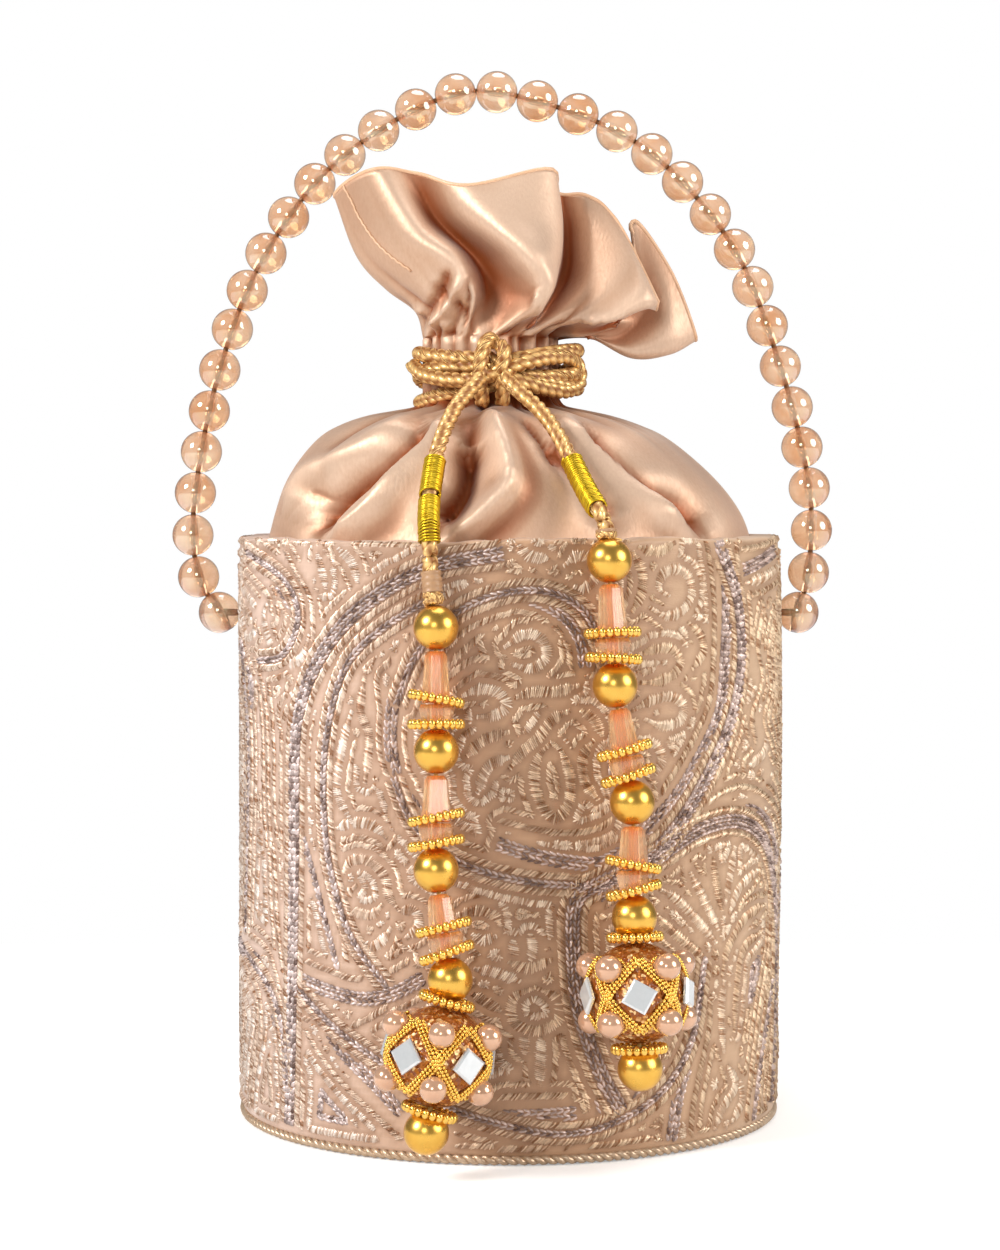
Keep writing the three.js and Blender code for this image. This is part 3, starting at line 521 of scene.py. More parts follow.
# A pivot is its place across, its drop below the rim and its reach off the wall.
# A ball is its place across and its drop.
strands = [
    {
        "side": "left", "pivot": (-17.5, 5.2, 4.7), "ornamentDrop": 112.5,
        "balls": [(-16.2, 19.2), (-16.1, 46.3), (-16.1, 72.2), (-13, 95.9), (-18.2, 129)],
        "ringTilts": [11, 0, -11, -10, -7, -12], "capTilts": [7, 7], "spin": 36,
    },
    {
        "side": "right", "pivot": (21.2, -2.6, 5.4), "ornamentDrop": 99.1,
        "balls": [(22, 4.5), (23.2, 31.9), (27, 57.6), (27.4, 82.7), (28.6, 115.6)],
        "ringTilts": [0, 5, -8, -10, 12, -14], "capTilts": [0, 0], "spin": 0,
    },
]
ornamentSizes = {
    "core": 11.2, "pearl": 3.0, "pearlReach": 12.3, "pearlTilt": 29, "pearlRing": 3.1, "ringBeads": 22,
    "ringDepth": 1.7, "mirror": 5.8, "mirrorSpin": 14, "frameBead": 0.47, "frameReach": 12.2, "frameHigh": 41,
    "frameRow": 0.78, "leanReach": 13.2, "stitchRise": 0.55, "clearance": 0.3, "collarGap": 1.0,
    "glitter": "B9702A", "glitterDark": "8A4412", "glitterSpark": "FFD9A0",
    "frame": "EDBC4E", "frameShine": "FFD678", "pearlColor": "CF9C7C", "pearlShine": "E4BA9A",
    "mirrorColor": "F2F4F6", "mirrorHaze": "D5DADD",
}
# The paint of each part of an ornament ball.
ornamentPaints = {
    "glitter_core": "glitter", "bead_frames": "frame", "pearls": "pearl", "mirrors": "mirror",
    "pearl_rings": "frame",
}


def frontPlace(across, drop, reach):
    # A place in front of the drum, at a distance from its axis.
    return np.array([across, -math.sqrt(reach**2 - across**2), drum["height"] - drop])


def strandReach(strand, drop):
    # The strand hangs straight from its pivot to where the ornament ball leans on the stitches.
    _, top, out = strand["pivot"]
    sizes = ornamentSizes
    lean = sizes["leanReach"] * math.cos(math.radians(sizes["pearlTilt"])) + sizes["pearlRing"]
    low = wallR + sizes["stitchRise"] + sizes["clearance"] + lean
    return wallR + out + (low - wallR - out) * (drop - top) / (strand["ornamentDrop"] - top)


def goldPaint():
    paint = Paint("gold_bead", metallic=1.0, roughness=0.3)
    where = paint.place()
    paint.blend(paint.noise(where, 300, 3), strandSizes["gold"], strandSizes["goldShine"])
    paint.set("Roughness", paint.noise(where, 400, 2) * 0.06 + 0.25)
    paint.set("Normal", paint.bump(paint.noise(where, 600, 2), 0.00003, 0.15))
    return paint


def peachPaint():
    # Clear peach, deeper at the bead's ends.
    sizes = strandSizes
    paint = Paint("peach_bead", roughness=0.12, ior=1.4, transmission_weight=0.72)
    where = paint.place()
    pale = paint.mix(paint.noise(where, 220, 2), linear(sizes["peach"]), linear(sizes["peachPale"]))
    end = paint.tone("end").between(0.45, 1.0)
    paint.set("Base Color", paint.mix(end, pale, linear(sizes["peachEnd"])))
    paint.set("Normal", paint.bump(paint.noise(where, 700, 2), 0.00003, 0.2))
    paint.set("Coat Weight", 0.5)
    return paint


def threadPaint():
    paint = Paint("strand_thread", roughness=0.6)
    paint.blend(paint.noise(paint.place(), 1500, 2), strandSizes["threadColor"], strandSizes["threadShine"])
    return paint


def fluted(profile, flutes, sides):
    # A turned bead with flat flutes down its outside. The first and last points of the profile are the bore.
    points, faces = turned(profile, sides)
    radius = np.hypot(points[:, 0], points[:, 1])
    turn = np.arctan2(points[:, 1], points[:, 0])
    sector = math.pi / flutes
    off = np.mod(turn, 2 * sector) - sector
    flat = np.cos(sector) / np.cos(off)
    outside = radius > strandSizes["bore"] + 0.3
    scale = np.where(outside, flat / flat.max(), 1)
    return points * np.stack([scale, scale, np.ones_like(scale)], -1), faces


def lengthwise(outline, pieces):
    # The outline with its long outer side in several steps.
    start, end = np.array(outline[2]), np.array(outline[3])
    steps = [tuple(start + (end - start) * i / pieces) for i in range(pieces + 1)]
    return outline[:2] + steps + outline[4:]


def coneBead(length):
    sizes = strandSizes
    half = length / 2
    outline = [
        (sizes["bore"], -half), (sizes["coneBase"] - 0.25, -half), (sizes["coneBase"], -half + 0.3),
        (sizes["coneTop"], half - 0.9), (sizes["coneTop"] - 0.7, half), (sizes["bore"], half),
    ]
    return fluted(lengthwise(outline, 4), 8, 16)


def bellBead():
    sizes = strandSizes
    half = sizes["bellLength"] / 2
    outline = [
        (sizes["bore"], -half), (sizes["bellBase"] - 0.2, -half), (sizes["bellBase"], -half + 0.25),
        (sizes["bellTop"], half - 0.9), (sizes["bellTop"] - 0.5, half), (sizes["bore"], half),
    ]
    return fluted(lengthwise(outline, 2), 9, 18)


def granuleRing():
    # Granules side by side in a ring, round a thin band.
    sizes = strandSizes
    granule, faces = ball(sizes["granule"], 10, 8)
    granule = granule * sizes["granuleShape"]
    parts = []
    for i in range(sizes["granules"]):
        angle = 2 * math.pi * i / sizes["granules"]
        parts.append((granule + sizes["ringMiddle"] * np.array([math.cos(angle), math.sin(angle), 0]), faces))
    inner, outer, half = sizes["ringMiddle"] - sizes["bandDepth"], sizes["bandOuter"], sizes["bandHalf"]
    parts.append(turned(rounded([(inner, -half), (outer, -half), (outer, half), (inner, half)], 0.25), 30))
    return joinParts(parts)


def glitterPaint():
    sizes = ornamentSizes
    paint = Paint("glitter", roughness=0.35)
    where = paint.place()
    flakes = paint.node("TexVoronoi", None, {"Vector": where, "Scale": 1250})
    tint = paint.node("TexVoronoi", None, {"Vector": where, "Scale": 1250}, output="Color")
    bright = paint.node("SeparateColor", None, {"Color": tint})
    tint = paint.mix(bright.between(0.2, 0.8), linear(sizes["glitterDark"]), linear(sizes["glitter"]))
    paint.set("Base Color", paint.mix(bright.between(0.75, 0.95), tint, linear(sizes["glitterSpark"])))
    paint.set("Metallic", bright.between(0.3, 0.7) * 0.85)
    paint.set("Roughness", bright * 0.3 + 0.18)
    paint.set("Normal", paint.bump(flakes, 0.00035, 1.0))
    return paint


def framePaint():
    paint = Paint("frame_bead", metallic=0.9, roughness=0.2)
    where = paint.place()
    paint.blend(paint.noise(where, 700, 2), ornamentSizes["frame"], ornamentSizes["frameShine"])
    paint.set("Roughness", paint.noise(where, 1200, 2) * 0.15 + 0.12)
    return paint


def pearlPaint():
    paint = Paint("rose_pearl", roughness=0.16, metallic=0.5)
    paint.set("Coat Weight", 0.9)
    paint.set("Coat Roughness", 0.04)
    paint.set("Thin Film Thickness", 380)
    paint.set("Thin Film IOR", 1.5)
    where = paint.place()
    paint.blend(paint.noise(where, 300, 3), ornamentSizes["pearlColor"], ornamentSizes["pearlShine"])
    paint.set("Roughness", paint.noise(where, 800, 2) * 0.12 + 0.12)
    return paint


def mirrorPaint():
    paint = Paint("little_mirror", metallic=0.5, roughness=0.06)
    where = paint.place()
    haze = paint.noise(where, 500, 4)
    paint.blend(haze, ornamentSizes["mirrorColor"], ornamentSizes["mirrorHaze"])
    paint.set("Roughness", haze * 0.22 + 0.03)
    paint.set("Normal", paint.bump(paint.noise(where, 260, 3), 0.00006, 0.5))
    return paint


def sphereDirection(turn, tilt):
    # Turn 0 faces the front.
    turn, tilt = math.radians(turn), math.radians(tilt)
    return np.array([math.cos(tilt) * math.sin(turn), -math.cos(tilt) * math.cos(turn), math.sin(tilt)])


def frameSide(start, end, bead):
    # Three rows of small beads along an arc of the ball, from one direction to another.
    sizes = ornamentSizes
    arc = math.acos(np.dot(start, end))
    aside = np.cross(start, end) / math.sin(arc)
    count = int(arc * sizes["frameReach"] / (sizes["frameBead"] * 1.85))
    out = []
    for row in (-1, 0, 1):
        for j in range(count):
            t = (j + 0.5 + 0.25 * row) / count
            way = (math.sin((1 - t) * arc) * start + math.sin(t * arc) * end) / math.sin(arc)
            reach = sizes["frameReach"] * (1 - 0.05 * math.sin(math.pi * t)) - 0.25 * abs(row)
            out.append((bead[0] + (way * reach + aside * row * sizes["frameRow"]), bead[1]))
    return out


def pearlRing(way, bead):
    # Small beads round a pearl.
    sizes = ornamentSizes
    across = np.cross(way, (0, 0, 1))
    across /= np.linalg.norm(across)
    up = np.cross(across, way)
    out = []
    for j in range(sizes["ringBeads"]):
        angle = 2 * math.pi * j / sizes["ringBeads"]
        aside = sizes["pearlRing"] * (math.cos(angle) * across + math.sin(angle) * up)
        out.append((bead[0] + (way * (sizes["pearlReach"] - sizes["ringDepth"]) + aside), bead[1]))
    return out


def ornamentParts():
    # Five mirrors round a glittering core, each in a frame of beads. Between two frames sit two pearls.
    sizes = ornamentSizes
    core = ball(sizes["core"] - 0.1, 48, 32, 1.2)
    frames, pearls, mirrors, edges = [], [], [], []
    bead = ball(sizes["frameBead"], 7, 5)
    corner = sizes["mirror"] / 2 * 1.414
    bevel = sizes["mirror"] / 2 * 1.18
    plate = turned([(0.02, 0.0), (corner, 0.0), (corner, 0.55), (bevel, 0.95), (0.02, 0.95)], 4)
    for turn in range(0, 360, 72):
        corners = [(turn - 36, 0), (turn, sizes["frameHigh"]), (turn + 36, 0), (turn, -sizes["frameHigh"])]
        for i in range(4):
            frames += frameSide(sphereDirection(*corners[i]), sphereDirection(*corners[(i + 1) % 4]), bead)
        out = sphereDirection(turn, 0)
        mirrors.append(aimed(plate, out * (sizes["core"] + 0.1), out, spin=sizes["mirrorSpin"]))
        for side in (-1, 1):
            way = sphereDirection(turn + 36, side * sizes["pearlTilt"])
            points, faces = ball(sizes["pearl"], 24, 16)
            pearls.append((points + way * sizes["pearlReach"], faces))
            edges += pearlRing(way, bead)
    groups = {"bead_frames": frames, "pearls": pearls, "mirrors": mirrors, "pearl_rings": edges}
    return {"glitter_core": core, **{name: joinParts(parts) for name, parts in groups.items()}}


def addRing(side, name, node, place, way, tilt, paint):
    shape = aimed(granuleRing(), place, way, tilt)
    makePiece(f"{side}_{name}", shape, paint, side + "_strand", stands=[f"{side}_{node}"])


def addDrop(strand, number, upper, lower, paints):
    # A cone and a bell with its two rings, between two balls.
    side, sizes = strand["side"], strandSizes
    way = wayTo(upper, lower)
    length = np.linalg.norm(upper - lower) - 2 * sizes["ball"] - sizes["bellLength"] - 3 * sizes["gap"]
    bellTop = 2 * sizes["gap"] + length
    spin = float(noise.uniform(0, 360))
    beads = {
        "cone": (coneBead(length), length, sizes["gap"]),
        "bell": (bellBead(), sizes["bellLength"], bellTop),
    }
    for kind, (bead, long, top) in beads.items():
        shape = aimed(bead, upper - way * (sizes["ball"] + top + long / 2), way, spin=spin)
        ends = {"end": np.abs(bead[0][:, 2]) * 2 / long}
        makePiece(f"{side}_fluted_{kind}_{number}", shape, paints["peach"], side + "_strand", smooth=False,
                  scalars=ends, stands=[f"{side}_{kind}_{number}"])
    for k, drop in enumerate(sizes["ringDrops"]):
        index = 2 * number - 1 + k
        place = upper - way * (sizes["ball"] + bellTop + drop)
        tilt = strand["ringTilts"][index - 1]
        addRing(side, f"granule_ring_{index}", f"ring_{index}", place, way, tilt, paints["frame"])


def addOrnament(strand, above, below, paints):
    # The ornament ball and its two collars, on the line between the last two balls.
    side = strand["side"]
    axis = wayTo(above, below)
    drops = [drop for _, drop in strand["balls"]]
    share = (strand["ornamentDrop"] - drops[3]) / (drops[4] - drops[3])
    centre = above + (below - above) * share
    reach = ornamentSizes["core"] + ornamentSizes["collarGap"]
    for name, way, tilt in zip(("upper", "lower"), (1, -1), strand["capTilts"]):
        place = centre + axis * way * reach
        addRing(side, f"{name}_collar", f"cap_{name}", place, axis, tilt, paints["frame"])
    for name, shape in ornamentParts().items():
        stands = [f"{side}_ornament_ball"] if name == "glitter_core" else []
        shape = aimed(shape, centre, axis, spin=strand["spin"])
        makePiece(f"{side}_{name}", shape, paints[ornamentPaints[name]], side + "_ornament",
                  smooth=name != "mirrors", stands=stands)


def buildStrand(strand, paints):
    # Gives back the strand's pivot and the centre of its first ball.
    side, sizes = strand["side"], strandSizes
    balls = [frontPlace(across, drop, strandReach(strand, drop)) for across, drop in strand["balls"]]
    across, drop, out = strand["pivot"]
    pivot = frontPlace(across, drop, wallR + out)
    for i, centre in enumerate(balls):
        above = balls[i - 1] if i else pivot
        below = balls[i + 1] if i < 4 else 2 * centre - above
        shape = aimed(ball(sizes["ball"], 36, 22, sizes["bore"]), centre, wayTo(above, below))
        makePiece(f"{side}_ball_{i + 1}", shape, paints["gold"], side + "_strand",
                  stands=[f"{side}_gold_ball_{i + 1}"])
    for number in (1, 2, 3):
        addDrop(strand, number, balls[number - 1], balls[number], paints)
    addOrnament(strand, balls[3], balls[4], paints)
    start = balls[0] + wayTo(pivot, balls[0]) * sizes["threadTop"]
    end = balls[4] - wayTo(balls[3], balls[4]) * sizes["threadTail"]
    thread = smoothLine([start, *balls, end], 1.2)
    thread = sweep(thread, sizes["thread"], 8)
    makePiece(f"{side}_strand_thread", thread, paints["thread"], side + "_strand", stands=[f"{side}_thread"])
    print(side, "strand done")
    return pivot, balls[0]


# Tie cord: one rope wound round the neck, knotted in front, with two tails that the strands hang on
cordSizes = {
    "radius": 1.85, "strands": 3, "lay": 7.5, "turns": 3, "pitch": 3.9, "windRadius": 18.5, "windX": -2.5,
    "windLow": 172.7, "neckX": -4.5, "neckY": -3.0, "knotX": 0.6, "knotY": -22, "endLength": 5.7,
    "coil": 2.25, "coilWire": 0.3, "coilPitch": 0.6, "tape": 2.25,
    "knotRing": 1.55, "knotRope": 0.95, "knotLay": 3.2, "deep": "8A4F16", "light": "FFD58E",
    "bullion": "B58A08", "bullionShine": "F2D53C", "tapeColor": "8A6142", "tapeLight": "C79E76",
}
# A tail is its path, the shares of it that bullion is wound round, and the tape's shares of the cord's end.
tails = {
    "left": {
        "path": [
            (-6.8, -28.15, 176.8), (-9, -33.2, 173.9), (-12, -38.5, 170.2), (-14.4, -44.5, 165.2),
            (-16.4, -50.5, 159), (-17.5, -56, 152), (-17.9, -61.5, 146.6), (-17.8, -66, 142.6),
            (-17.6, -67.6, 139), (-17.5, -67.7, 136.95),
        ],
        "bullion": {"left_bullion_upper": (0.545, 0.715), "left_bullion_lower": (0.745, 0.95)},
        "tape": (0.2, 0.75),
    },
    "right": {
        "path": [
            (-1.1, -28.15, 176.8), (2, -33.4, 173.8), (6.6, -38.8, 169.6), (10.4, -44.5, 164.6),
            (13.8, -50.5, 158), (16.8, -56.5, 151.6), (19, -62, 147.6), (20.2, -65, 146),
            (20.7, -65.95, 144.3),
        ],
        "bullion": {"right_bullion": (0.605, 0.925)}, "tape": (0.1, 0.6),
    },
}
# One more loop that crosses the winding.
crossing = [
    (-23, -6, 180.5), (-19, -17, 177.5), (-8, -24.6, 176.6), (4, -23.4, 180.6), (12.5, -15.5, 182.2),
    (15.8, -8.5, 181.2), (17, -6.5, 178.4), (16.4, -8.5, 175.6), (12.4, -16.4, 174), (4, -23.6, 175.6),
    (-4, -25, 178),
]
# The two sides of the knot: x and y from its middle, and the height above the winding's foot.
knotSides = {
    "knot_left": [
        (-2.3, 3, -1.5), (-2.5, 0.4, 0.6), (-2.9, -0.5, 6), (-2.0, 0, 11.3), (-0.6, 2.4, 13.3),
        (0.2, 5, 12.7),
    ],
    "knot_right": [(2.3, 3, -1.5), (2.4, 0.6, 0.8), (2.3, -0.4, 6), (2.9, 0.2, 10.3), (1.6, 2.6, 12.1)],
}


def ropePaint():
    paint = Paint("gold_rope", roughness=0.42)
    along = paint.part(paint.flat(), 0)
    around = paint.part(paint.flat(), 1)
    # The fibre lines are painted shade in the grooves between fibres and painted sheen between them; the patches
    # are the cord's own uneven colour.
    fibre = (along * 2.6 + around * 9).math("SINE") * 0.5 + 0.5
    patch = paint.noise(paint.place(), 420, 4)
    shine = (fibre * 0.7 + patch * 0.6).between(0.25, 1.0)
    paint.blend(shine, cordSizes["deep"], cordSizes["light"])
    paint.set("Metallic", shine * 0.55)
    paint.set("Roughness", 0.55 - shine * 0.25)
    paint.set("Normal", paint.bump(fibre + patch, 0.00022, 1.0))
    return paint


def bullionPaint():
    paint = Paint("bullion_wire", metallic=0.95, roughness=0.28)
    patch = paint.noise(paint.place(), 500, 3)
    paint.blend(patch, cordSizes["bullion"], cordSizes["bullionShine"])
    paint.set("Roughness", patch * 0.2 + 0.2)
    return paint


def tapePaint():
    paint = Paint("cord_tape", roughness=0.4)
    patch = paint.noise(paint.place(), 350, 4)
    paint.blend(patch, cordSizes["tapeColor"], cordSizes["tapeLight"])
    paint.set("Normal", paint.bump(patch, 0.0003, 0.6))
    return paint


def addRope(name, line, body, paint, stands=()):
    # Laid strands, with a map along and round each of them for the fibres.
    sizes, packing, sides = cordSizes, 0.56, 10
    across, other = framesOf(line)
    along = np.concatenate([[0], np.cumsum(np.linalg.norm(np.diff(line, axis=0), axis=1))])
    parts, maps = [], []
    for k in range(sizes["strands"]):
        angle = (2 * math.pi * (along / sizes["lay"] + k / sizes["strands"]))[:, None]
        middle = line + sizes["radius"] * (1 - packing) * (np.cos(angle) * across + np.sin(angle) * other)
        parts.append(sweep(middle, sizes["radius"] * packing, sides))
        grid = np.stack(np.meshgrid(along, np.arange(sides) / sides, indexing="ij"), -1).reshape(-1, 2)
        maps.append(np.concatenate([grid, [[0, 0], [along[-1], 0]]]))
    return makePiece(name, joinParts(parts), paint, body, uv=np.concatenate(maps), stands=stands)


def coilOf(line):
    # Fine wire wound round a line, a little uneven.
    across, other = framesOf(line)
    turns = np.linalg.norm(np.diff(line, axis=0), axis=1).sum() / cordSizes["coilPitch"]
    t = np.linspace(0, 1, int(turns * 14))
    angle = (2 * math.pi * turns * t)[:, None]
    reach = cordSizes["coil"] * (1 + 0.03 * np.sin(angle * 0.31) + 0.02 * np.sin(angle * 1.7))

    def at(values):
        rows = t * (len(line) - 1)
        return np.stack([np.interp(rows, np.arange(len(line)), values[:, k]) for k in range(3)], -1)

    helix = at(line) + reach * (np.cos(angle) * at(across) + np.sin(angle) * at(other))
    return sweep(helix, cordSizes["coilWire"], 6)


def windNeck(rope):
    sizes = cordSizes
    points = []
    for i in range(sizes["turns"] * 48 + 1):
        turn = i / 48
        angle = (turn * 2 + 1) * math.pi
        wave = 1.3 * math.sin(angle + 1.7 * int(turn + 0.5)) + 0.7 * math.sin(angle * 2.3)
        reach = sizes["windRadius"] + 0.5 * math.sin(angle * 1.9)
        x = sizes["windX"] + reach * math.sin(angle)
        y = sizes["neckY"] - reach * math.cos(angle)
        points.append((x, y, sizes["windLow"] + turn * sizes["pitch"] + wave))
    addRope("neck_winding", smoothLine(points, 0.55), "drum", rope, stands=["neck_cord"])
    addRope("neck_crossing", smoothLine(crossing, 0.55), "drum", rope)
    middle = np.array([sizes["neckX"] + sizes["knotX"], sizes["neckY"] + sizes["knotY"], sizes["windLow"]])
    for name, offsets in knotSides.items():
        addRope(name, smoothLine(middle + np.array(offsets), 0.55), "drum", rope)


def addTail(side, paints):
    # A tail of the cord with the bullion wire wound round it.
    tail = tails[side]["path"]
    line = smoothLine(tail, 0.5)
    cord = addRope(f"{side}_tail", line, "drum", paints["rope"], stands=[f"{side}_tail_cord"])
    wraps = []
    for node, (start, end) in tails[side]["bullion"].items():
        stretch = line[int(start * len(line)) : int(end * len(line)) + 1]
        name = f"{side}_bullion_wire_{len(wraps) + 1}"
        wraps.append(makePiece(name, coilOf(stretch), paints["bullion"], "drum", stands=[node]))
    [c / 1000 for c in tail[0]]


def addCordEnd(side, pivot, first, paints):
    # The short end of the cord below a tail, with two small rings of rope and the tape round it.
    sizes = cordSizes
    body = side + "_cord_end"
    way = wayTo(pivot, first)
    bottom = first + way * sizes["endLength"]
    stub = smoothLine([pivot + way * 1.3, (pivot + bottom) / 2, bottom], 0.4)
    addRope(f"{side}_cord_stub", stub, body, paints["rope"], stands=[f"{side}_cord_end"])
    ring = np.arange(28) * 2 * math.pi / 28
    circle = [sizes["knotRing"] * np.cos(ring), sizes["knotRing"] * np.sin(ring), 0.35 * np.sin(2 * ring)]
    for percent, tilt in ((86, 14), (98, -10)):
        looped = turnedTo(np.stack(circle, -1), pivot + (bottom - pivot) * (percent / 100), way, tilt)
        shape = twistedRing(looped, sizes["knotRope"], sizes["strands"], sizes["knotLay"], sides=6)
        makePiece(f"{side}_end_knot_{percent}", shape, paints["rope"], body, uv=shape[0][:, :2])
    high, low = tails[side]["tape"]
    line = smoothLine([pivot + (bottom - pivot) * high, pivot + (bottom - pivot) * low], 0.3)
    wave = sizes["tape"] + 0.12 * np.sin(np.arange(len(line)) * 1.3)
    makePiece(f"{side}_tape", sweep(line, wave, 20), paints["tape"], body, stands=[f"{side}_cord_tape"])


def addLooseThread(pivot, first, paint):
    # A fine thread that frays out of the right cord's end.
    start = pivot + (first - pivot) * 0.3 + np.array([1.6, -1.2, 0])
    end = first + np.array([1.5, -2.5, 4.3])
    middle = (start + end) / 2 + np.array([1.4, -0.6, 0])
    shape = sweep(smoothLine([start, middle, end], 0.6), 0.16, 6)
    makePiece("frayed_thread", shape, paint, "right_cord_end")


def buildTieCord(ends, paints):
    windNeck(paints["rope"])
    for side in ("left", "right"):
        addTail(side, paints)
        addCordEnd(side, *ends[side], paints)
    addLooseThread(*ends["right"], paints["thread"])
    print("tie cord done")


# Drum cover: satin over board, folded in at the rim
# The left, middle and right colours are painted light and shade across the drum, darker in the middle of its
# front and back; the under colour is painted shade round and under the stitches.
coverSizes = {
    "columns": 360, "rows": 84, "rimBend": 1.3, "lipRadius": 57.8, "lipBend": 1.5, "lipDepth": 9.8,
    "hem": 1.3, "waves": 0.22, "sideBulge": 0.7, "left": "E0C5B6", "middle": "B99272", "right": "CBAA8A",
    "slub": "B98F6A", "under": "8A6244",
}


def wallBulge(along, height):
    # How far the cloth stands off the plain drum.
    turn = np.asarray(along) / wallR
    up = np.clip(np.asarray(height) / drum["height"], 0, 1)
    waves = np.sin(3 * turn + 1.1) * np.sin(5 * up + 0.4) + 0.7 * np.sin(7 * turn + 4 * up)
    side = np.clip(np.sin(turn), 0, 1) ** 2 * np.sin(math.pi * up)
    return coverSizes["waves"] * waves * np.sin(math.pi * up) ** 0.5 + coverSizes["sideBulge"] * side


def rimLift(along):
    # The top edge is a little uneven, and dips more than it rises.
    turn = np.asarray(along) / wallR
    return 0.35 * np.sin(2 * turn + 0.6) + 0.22 * np.sin(5 * turn) + 0.15 * np.sin(11 * turn + 1) - 0.35


def satinGround(name, first, second, middle=None, paintStitchShade=False):
    # Woven satin with a fine slub, painted light and shade across X, and painted shade round and under the
    # stitches where asked.
    paint = Paint(name, roughness=0.4)
    where = paint.place()
    across = paint.part(where, 0)
    # Painted light and shade across X: lighter towards the sides, darker in the middle where a middle colour is
    # given.
    if middle:
        tint = paint.mix(across.between(-0.06, -0.005), linear(first), linear(middle))
        tint = paint.mix(across.between(0.02, 0.06), tint, linear(second))
    else:
        tint = paint.mix(across.between(-0.065, 0.065), linear(first), linear(second))
    slub = paint.noise(where, 120, 4, 0.6, (1, 1, 9))
    patch = paint.noise(where, 45, 3)
    tint = paint.mix((slub * 0.6 + patch * 0.4).between(0.3, 0.75) * 0.35, tint, linear(coverSizes["slub"]))
    # Painted shade on the ground round and under the stitches.
    if paintStitchShade:
        tint = paint.mix(paint.tone("under") * 0.9, tint, linear(coverSizes["under"]))
    paint.set("Base Color", tint)
    weave = paint.noise(where, 1500, 2, 0.5, (1, 1, 3))
    paint.set("Normal", paint.bump(slub * 0.5 + weave * 0.5, 0.00018, 0.6))
    paint.set("Roughness", slub * 0.2 + 0.32)
    paint.set("Sheen Weight", 0.2)
    return paint


def coverRows():
    # Rows of (radius, height, share of the rim's lift), from the hem inside over the rim down to the base.
    sizes = coverSizes
    height, lip, turnIn, bend = drum["height"], sizes["lipRadius"], sizes["lipBend"], sizes["rimBend"]
    rows = [(lip + sizes["hem"], height - sizes["lipDepth"], 0), (lip, height - sizes["lipDepth"], 0)]
    rows += [(lip, height - 5, 0.2), (lip + 0.1, height - 1.6, 0.8)]
    for angle in np.linspace(0, math.pi / 2, 5):
        rows.append((lip + turnIn - turnIn * math.cos(angle), height - 1.4 + turnIn * math.sin(angle), 1))
    for angle in np.linspace(math.pi / 2, 0, 6):
        rows.append((wallR - bend + bend * math.cos(angle), height - bend + bend * math.sin(angle), 1))
    for z in np.linspace(height - 4, 3.4, sizes["rows"]):
        rows.append((wallR, z, min(1.0, max(0.0, (z - height + 12) / 10))))
    return rows + [(wallR - 0.3, 2.5, 0), (wallR - 0.9, 2.0, 0), (wallR - 1.5, 1.8, 0)]


def buildCover(stitches):
    sizes = coverSizes
    columns = sizes["columns"]
    turn = np.arange(columns) * 2 * math.pi / columns
    along = turn * wallR
    pucker = 0.16 * np.sin(23 * turn + 2 * np.sin(5 * turn)) + 0.1 * np.sin(41 * turn)
    rows = coverRows()
    points = []
    for radius, z, lifted in rows:
        if radius > 62:
            radius = radius + wallBulge(along, np.full(columns, z))
        lift = rimLift(along) * lifted
        if lifted > 0.7 and z > drum["height"] - 2.4:
            lift = lift + pucker
        points.append(np.stack([radius * np.sin(turn), -radius * np.cos(turn), z + lift], -1))
    points = np.concatenate(points)
    wall = gridFaces(len(rows), columns, flip=True)
    faces = [np.concatenate([wall, closingFaces(len(rows), columns, flip=True)])]
    paint = satinGround("drum_satin", sizes["left"], sizes["right"], sizes["middle"], paintStitchShade=True)
    # The blurred stitch coverage is the mask for the painted shade round the stitches.
    covered = stitches.coveredAt(points)
    makePiece("drum_satin_cover", (points, faces), paint, "drum", scalars={"under": covered},
              stands=["embroidered_cover"])
    print("cover done")


# Embroidery: stitches laid along drawn lines
stitching = {
    "cell": 0.3, "pitch": 0.44, "rise": 0.62, "goldLength": 2.3, "goldWidth": 0.42, "goldLean": 48,
    "linkLength": 1.95, "linkWidth": 0.56, "linkPitch": 1.5, "linkAside": 0.42, "linkLean": 0.32, "rowGap": 1.75,
    "combLength": 3.0, "combWidth": 0.45, "combRise": 0.56, "combLean": 76,
}
# A thread's painted lit colours on the left and on the right, its painted shade colour, then how metallic and
# how rough it is.
threads = {
    "gold": ("FFE9D6", "F8DDBC", "8F5C34", 0.4, 0.32),
    "mauve": ("EEDCD8", "E6CEC4", "63493F", 0.4, 0.32),
    "cream": ("FFF4EA", "FFEBD2", "A97A54", 0.35, 0.34),
}
# Rows that fill the ground: distance from what is there, stitch length, and the threads they are drawn from.
echoRows = [
    (1.75, 2.1, ["gold", "gold", "cream"]),
    (2.2, 2.5, ["cream", "cream", "gold", "mauve"]),
    (2.2, 2.6, ["cream", "gold"]),
    (1.3, 1.5, ["cream", "gold"]),
]
